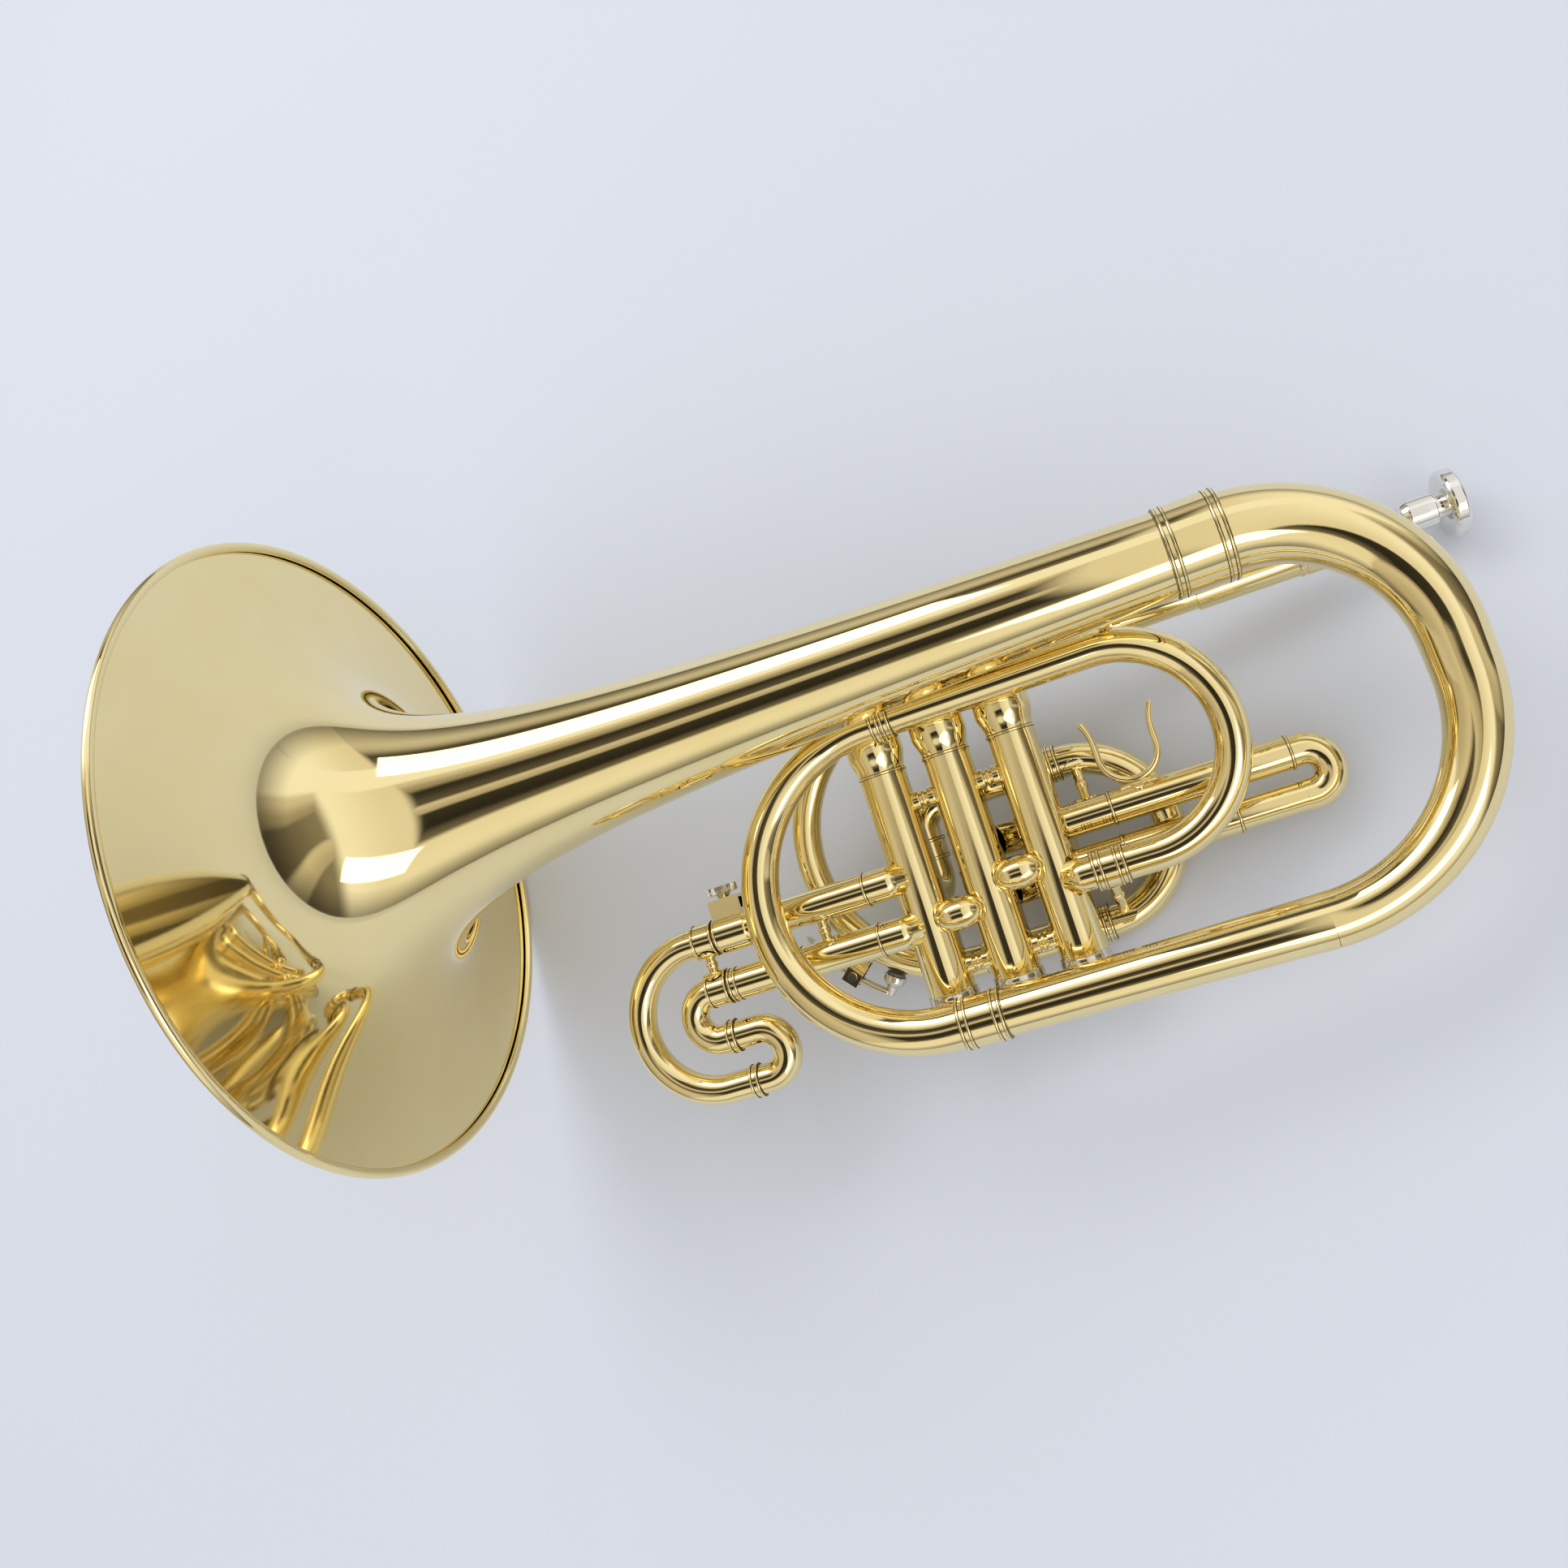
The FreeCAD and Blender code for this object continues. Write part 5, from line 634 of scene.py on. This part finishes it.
# ---- Third slide: two fixed sleeves from valve 3, and a loop of one wide and two tight bows that pulls
# out to the front.
NEAR = -29.0
for side, y, rings in (("upper", -81.3, (0.2, 64.9)), ("lower", -101.8, (0.2, 2.8, 32.0, 64.9))):
    sleeve = turned("third_sleeve_" + side, beaded(66.0, 5.95, 6.55, rings), (131.5, y, NEAR), (1, 0, 0), "horn")
    if side == "upper":
        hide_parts("third_slide_sleeves")
    leg = turned("third_leg_" + side, [(0, 5.3), (0, 5.9), (57.5, 5.9), (57.5, 5.3)], (119.0 + 3 * (side == "lower"), y, NEAR),
                 (1, 0, 0), "third_slide")
    if side == "upper":
        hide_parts("third_slide_legs")
    cuff = turned("third_ferrule_" + side, beaded(9.6, 5.93, 6.68, (0.3, 8.4)), (121.55, y, NEAR), (1, 0, 0), "third_slide")
    if side == "upper":
        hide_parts("third_slide_ferrules")
for x, y in ((128.6, -140.8), (124.5, -121.3)):
    turned("third_ring_%d" % x, beaded(4.0, 5.93, 6.45, (0.2, 2.9)), (x, y, NEAR), (1, 0, 0), "third_slide")
path = route(arc((119, -111.05, NEAR), (0, 1, 0), (-1, 0, 0), 29.75, 180, 3), line((119, -140.8, NEAR), (130.6, -140.8, NEAR)))
wide = tube("third_wide_bow", path, 5.9, "third_slide", sides=64)
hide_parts("third_slide_bow")
path = route(line((130.6, -140.8, NEAR), (136.5, -140.8, NEAR)), arc((136.5, -131.05, NEAR), (0, -1, 0), (1, 0, 0), 9.75, 180, 6),
             line((136.5, -121.3, NEAR), (126.5, -121.3, NEAR)), arc((122, -111.55, NEAR), (0, -1, 0), (-1, 0, 0), 9.75, 180, 6))
tight = tube("third_tight_bows", path, 5.9, "third_slide")
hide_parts("third_slide_return_bows")

# ---- Lyre screw: a nickel thumb screw with a knurled head, which grips a music lyre's stem.
grip = surface("lyre_thumb_screw", knurled(
    [(0, 0, 0), (0, 1.5, 0), (1.4, 1.5, 0), (1.5, 2.4, 0), (2.9, 3.1, 0), (3.0, 5.6, 0), (3.3, 6.1, 0.6), (3.6, 6.2, 1),
     (5.9, 6.2, 1), (6.2, 6.0, 0.6), (6.4, 5.4, 0), (6.3, 2.6, 0), (6.0, 2.2, 0), (6.0, 0, 0)],
    (139.35, -68.45, NEAR), (0, 1, 0), 40, 0.45), "lyre_screw", nickel, (False, True))
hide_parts("lyre_screw")

# ---- First slide: a fixed inner tube above and a fixed sleeve below, and a small bow that joins the
# moving sleeve to the moving leg. The thumb saddle on the sleeve pulls it out while playing.
path = route(line((366.0, -80.2, -42.75), (369, -80.2, -42.75)), arc((369, -88.7, -42.75), (0, 1, 0), (1, 0, 0), 8.5, 180, 5),
             line((369, -97.2, -42.75), (366, -97.2, -42.75)), line((365.95, -97.2, -42.75), (285, -97.2, -42.75)))
pull = tube("first_slide_bow", path, np.where(path[:, 0] > 365.97, 6.2, 5.9), "first_slide")
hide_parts("first_slide")
sleeve = turned("first_upper_sleeve", beaded(69.7, 5.95, 6.55, (0.2, 68.6)), (296.3, -80.2, -42.75), (1, 0, 0), "first_slide")
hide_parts("first_slide_upper_sleeve")
sleeve = turned("first_lower_sleeve", beaded(62.3, 5.95, 6.55, (17.5, 61.2)), (278.7, -97.2, -42.75), (1, 0, 0), "horn")
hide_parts("first_slide_lower_sleeve")

# Thumb saddle: a brass wire bent to a wide U whose ends flare outwards, soldered by a leaf-shaped plate to
# the sleeve that it moves.
turn_y = -80.2 + 6.55 + 1.62 + 11.5
climb = np.linspace(0, 1, 15)[:, None]
prong = np.hstack([309.5 + 11.5 + 3.0 * np.clip(climb - 0.35, 0, 1) ** 2 / 0.42, turn_y + 16.0 * climb, 0 * climb - 42.75])
mirror = np.array([619.0, 0, 0]) - prong * (1, -1, -1)
path = route(mirror[::-1], arc((309.5, turn_y, -42.75), (-1, 0, 0), (0, -1, 0), 11.5, 180, 6), prong)
to_end = np.minimum(way_along(path), way_along(path)[-1] - way_along(path))
fork = tube("thumb_saddle_wire", path, 1.35 * np.sqrt(np.clip(to_end / 1.2, 0, 1)), "first_slide", wall=0, sides=28)
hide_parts("thumb_saddle")
u = np.linspace(-1, 1, 33)[:, None]
v = np.linspace(-1, 1, 25)[None, :]
half_angle = np.radians(48) * np.sqrt(1 - u ** 2) * (1 + 0.25 * np.cos(2 * np.pi * u))
thick = 0.9 * (1 - u ** 2) ** 0.25 * (1 - v ** 6)
top_sheet = np.stack([309.5 + 8.0 * u + 0 * v, -80.2 + (6.58 + thick) * np.cos(half_angle * v),
                      -42.75 + (6.58 + thick) * np.sin(half_angle * v)], -1)
low_sheet = np.stack([309.5 + 8.0 * u + 0 * v, -80.2 + 6.56 * np.cos(half_angle * v), -42.75 + 6.56 * np.sin(half_angle * v)], -1)
surface("thumb_saddle_plate", np.hstack([top_sheet, low_sheet[:, ::-1][:, 1:-1]]), "first_slide", brass, (False, True))

# ---- Second slide: a short bow on the far side, turned away from the valve row.
out = np.array([np.cos(np.radians(42)), 0, -np.sin(np.radians(42))])
middle = np.array([VALVES[2], -89.25, -38.5])
for side, lift_y in (("upper", 10.25), ("lower", -10.25)):
    sleeve = turned("second_sleeve_" + side, beaded(17.0, 5.95, 6.55, (15.9,)), middle + out * 9.5 + (0, lift_y, 0), out, "horn")
    if side == "upper":
        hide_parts("second_slide_sleeves")
tip = middle + out * 31.0
path = route(line(tip - out * 17.2 + (0, 10.25, 0), tip - out * 4.25 + (0, 10.25, 0)), line(tip - out * 4.2 + (0, 10.25, 0), tip + (0, 10.25, 0)),
             arc(tip, (0, 1, 0), out, 10.25, 180, 5),
             line(tip - (0, 10.25, 0), tip - out * 4.2 - (0, 10.25, 0)), line(tip - out * 4.25 - (0, 10.25, 0), tip - out * 17.2 - (0, 10.25, 0)))
small = tube("second_slide_bow", path, np.where((path - tip) @ out > -4.22, 6.2, 5.9), "second_slide", np.cross(out, (0, 1, 0)))
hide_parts("second_slide")

scene.view_settings.view_transform = "Standard"
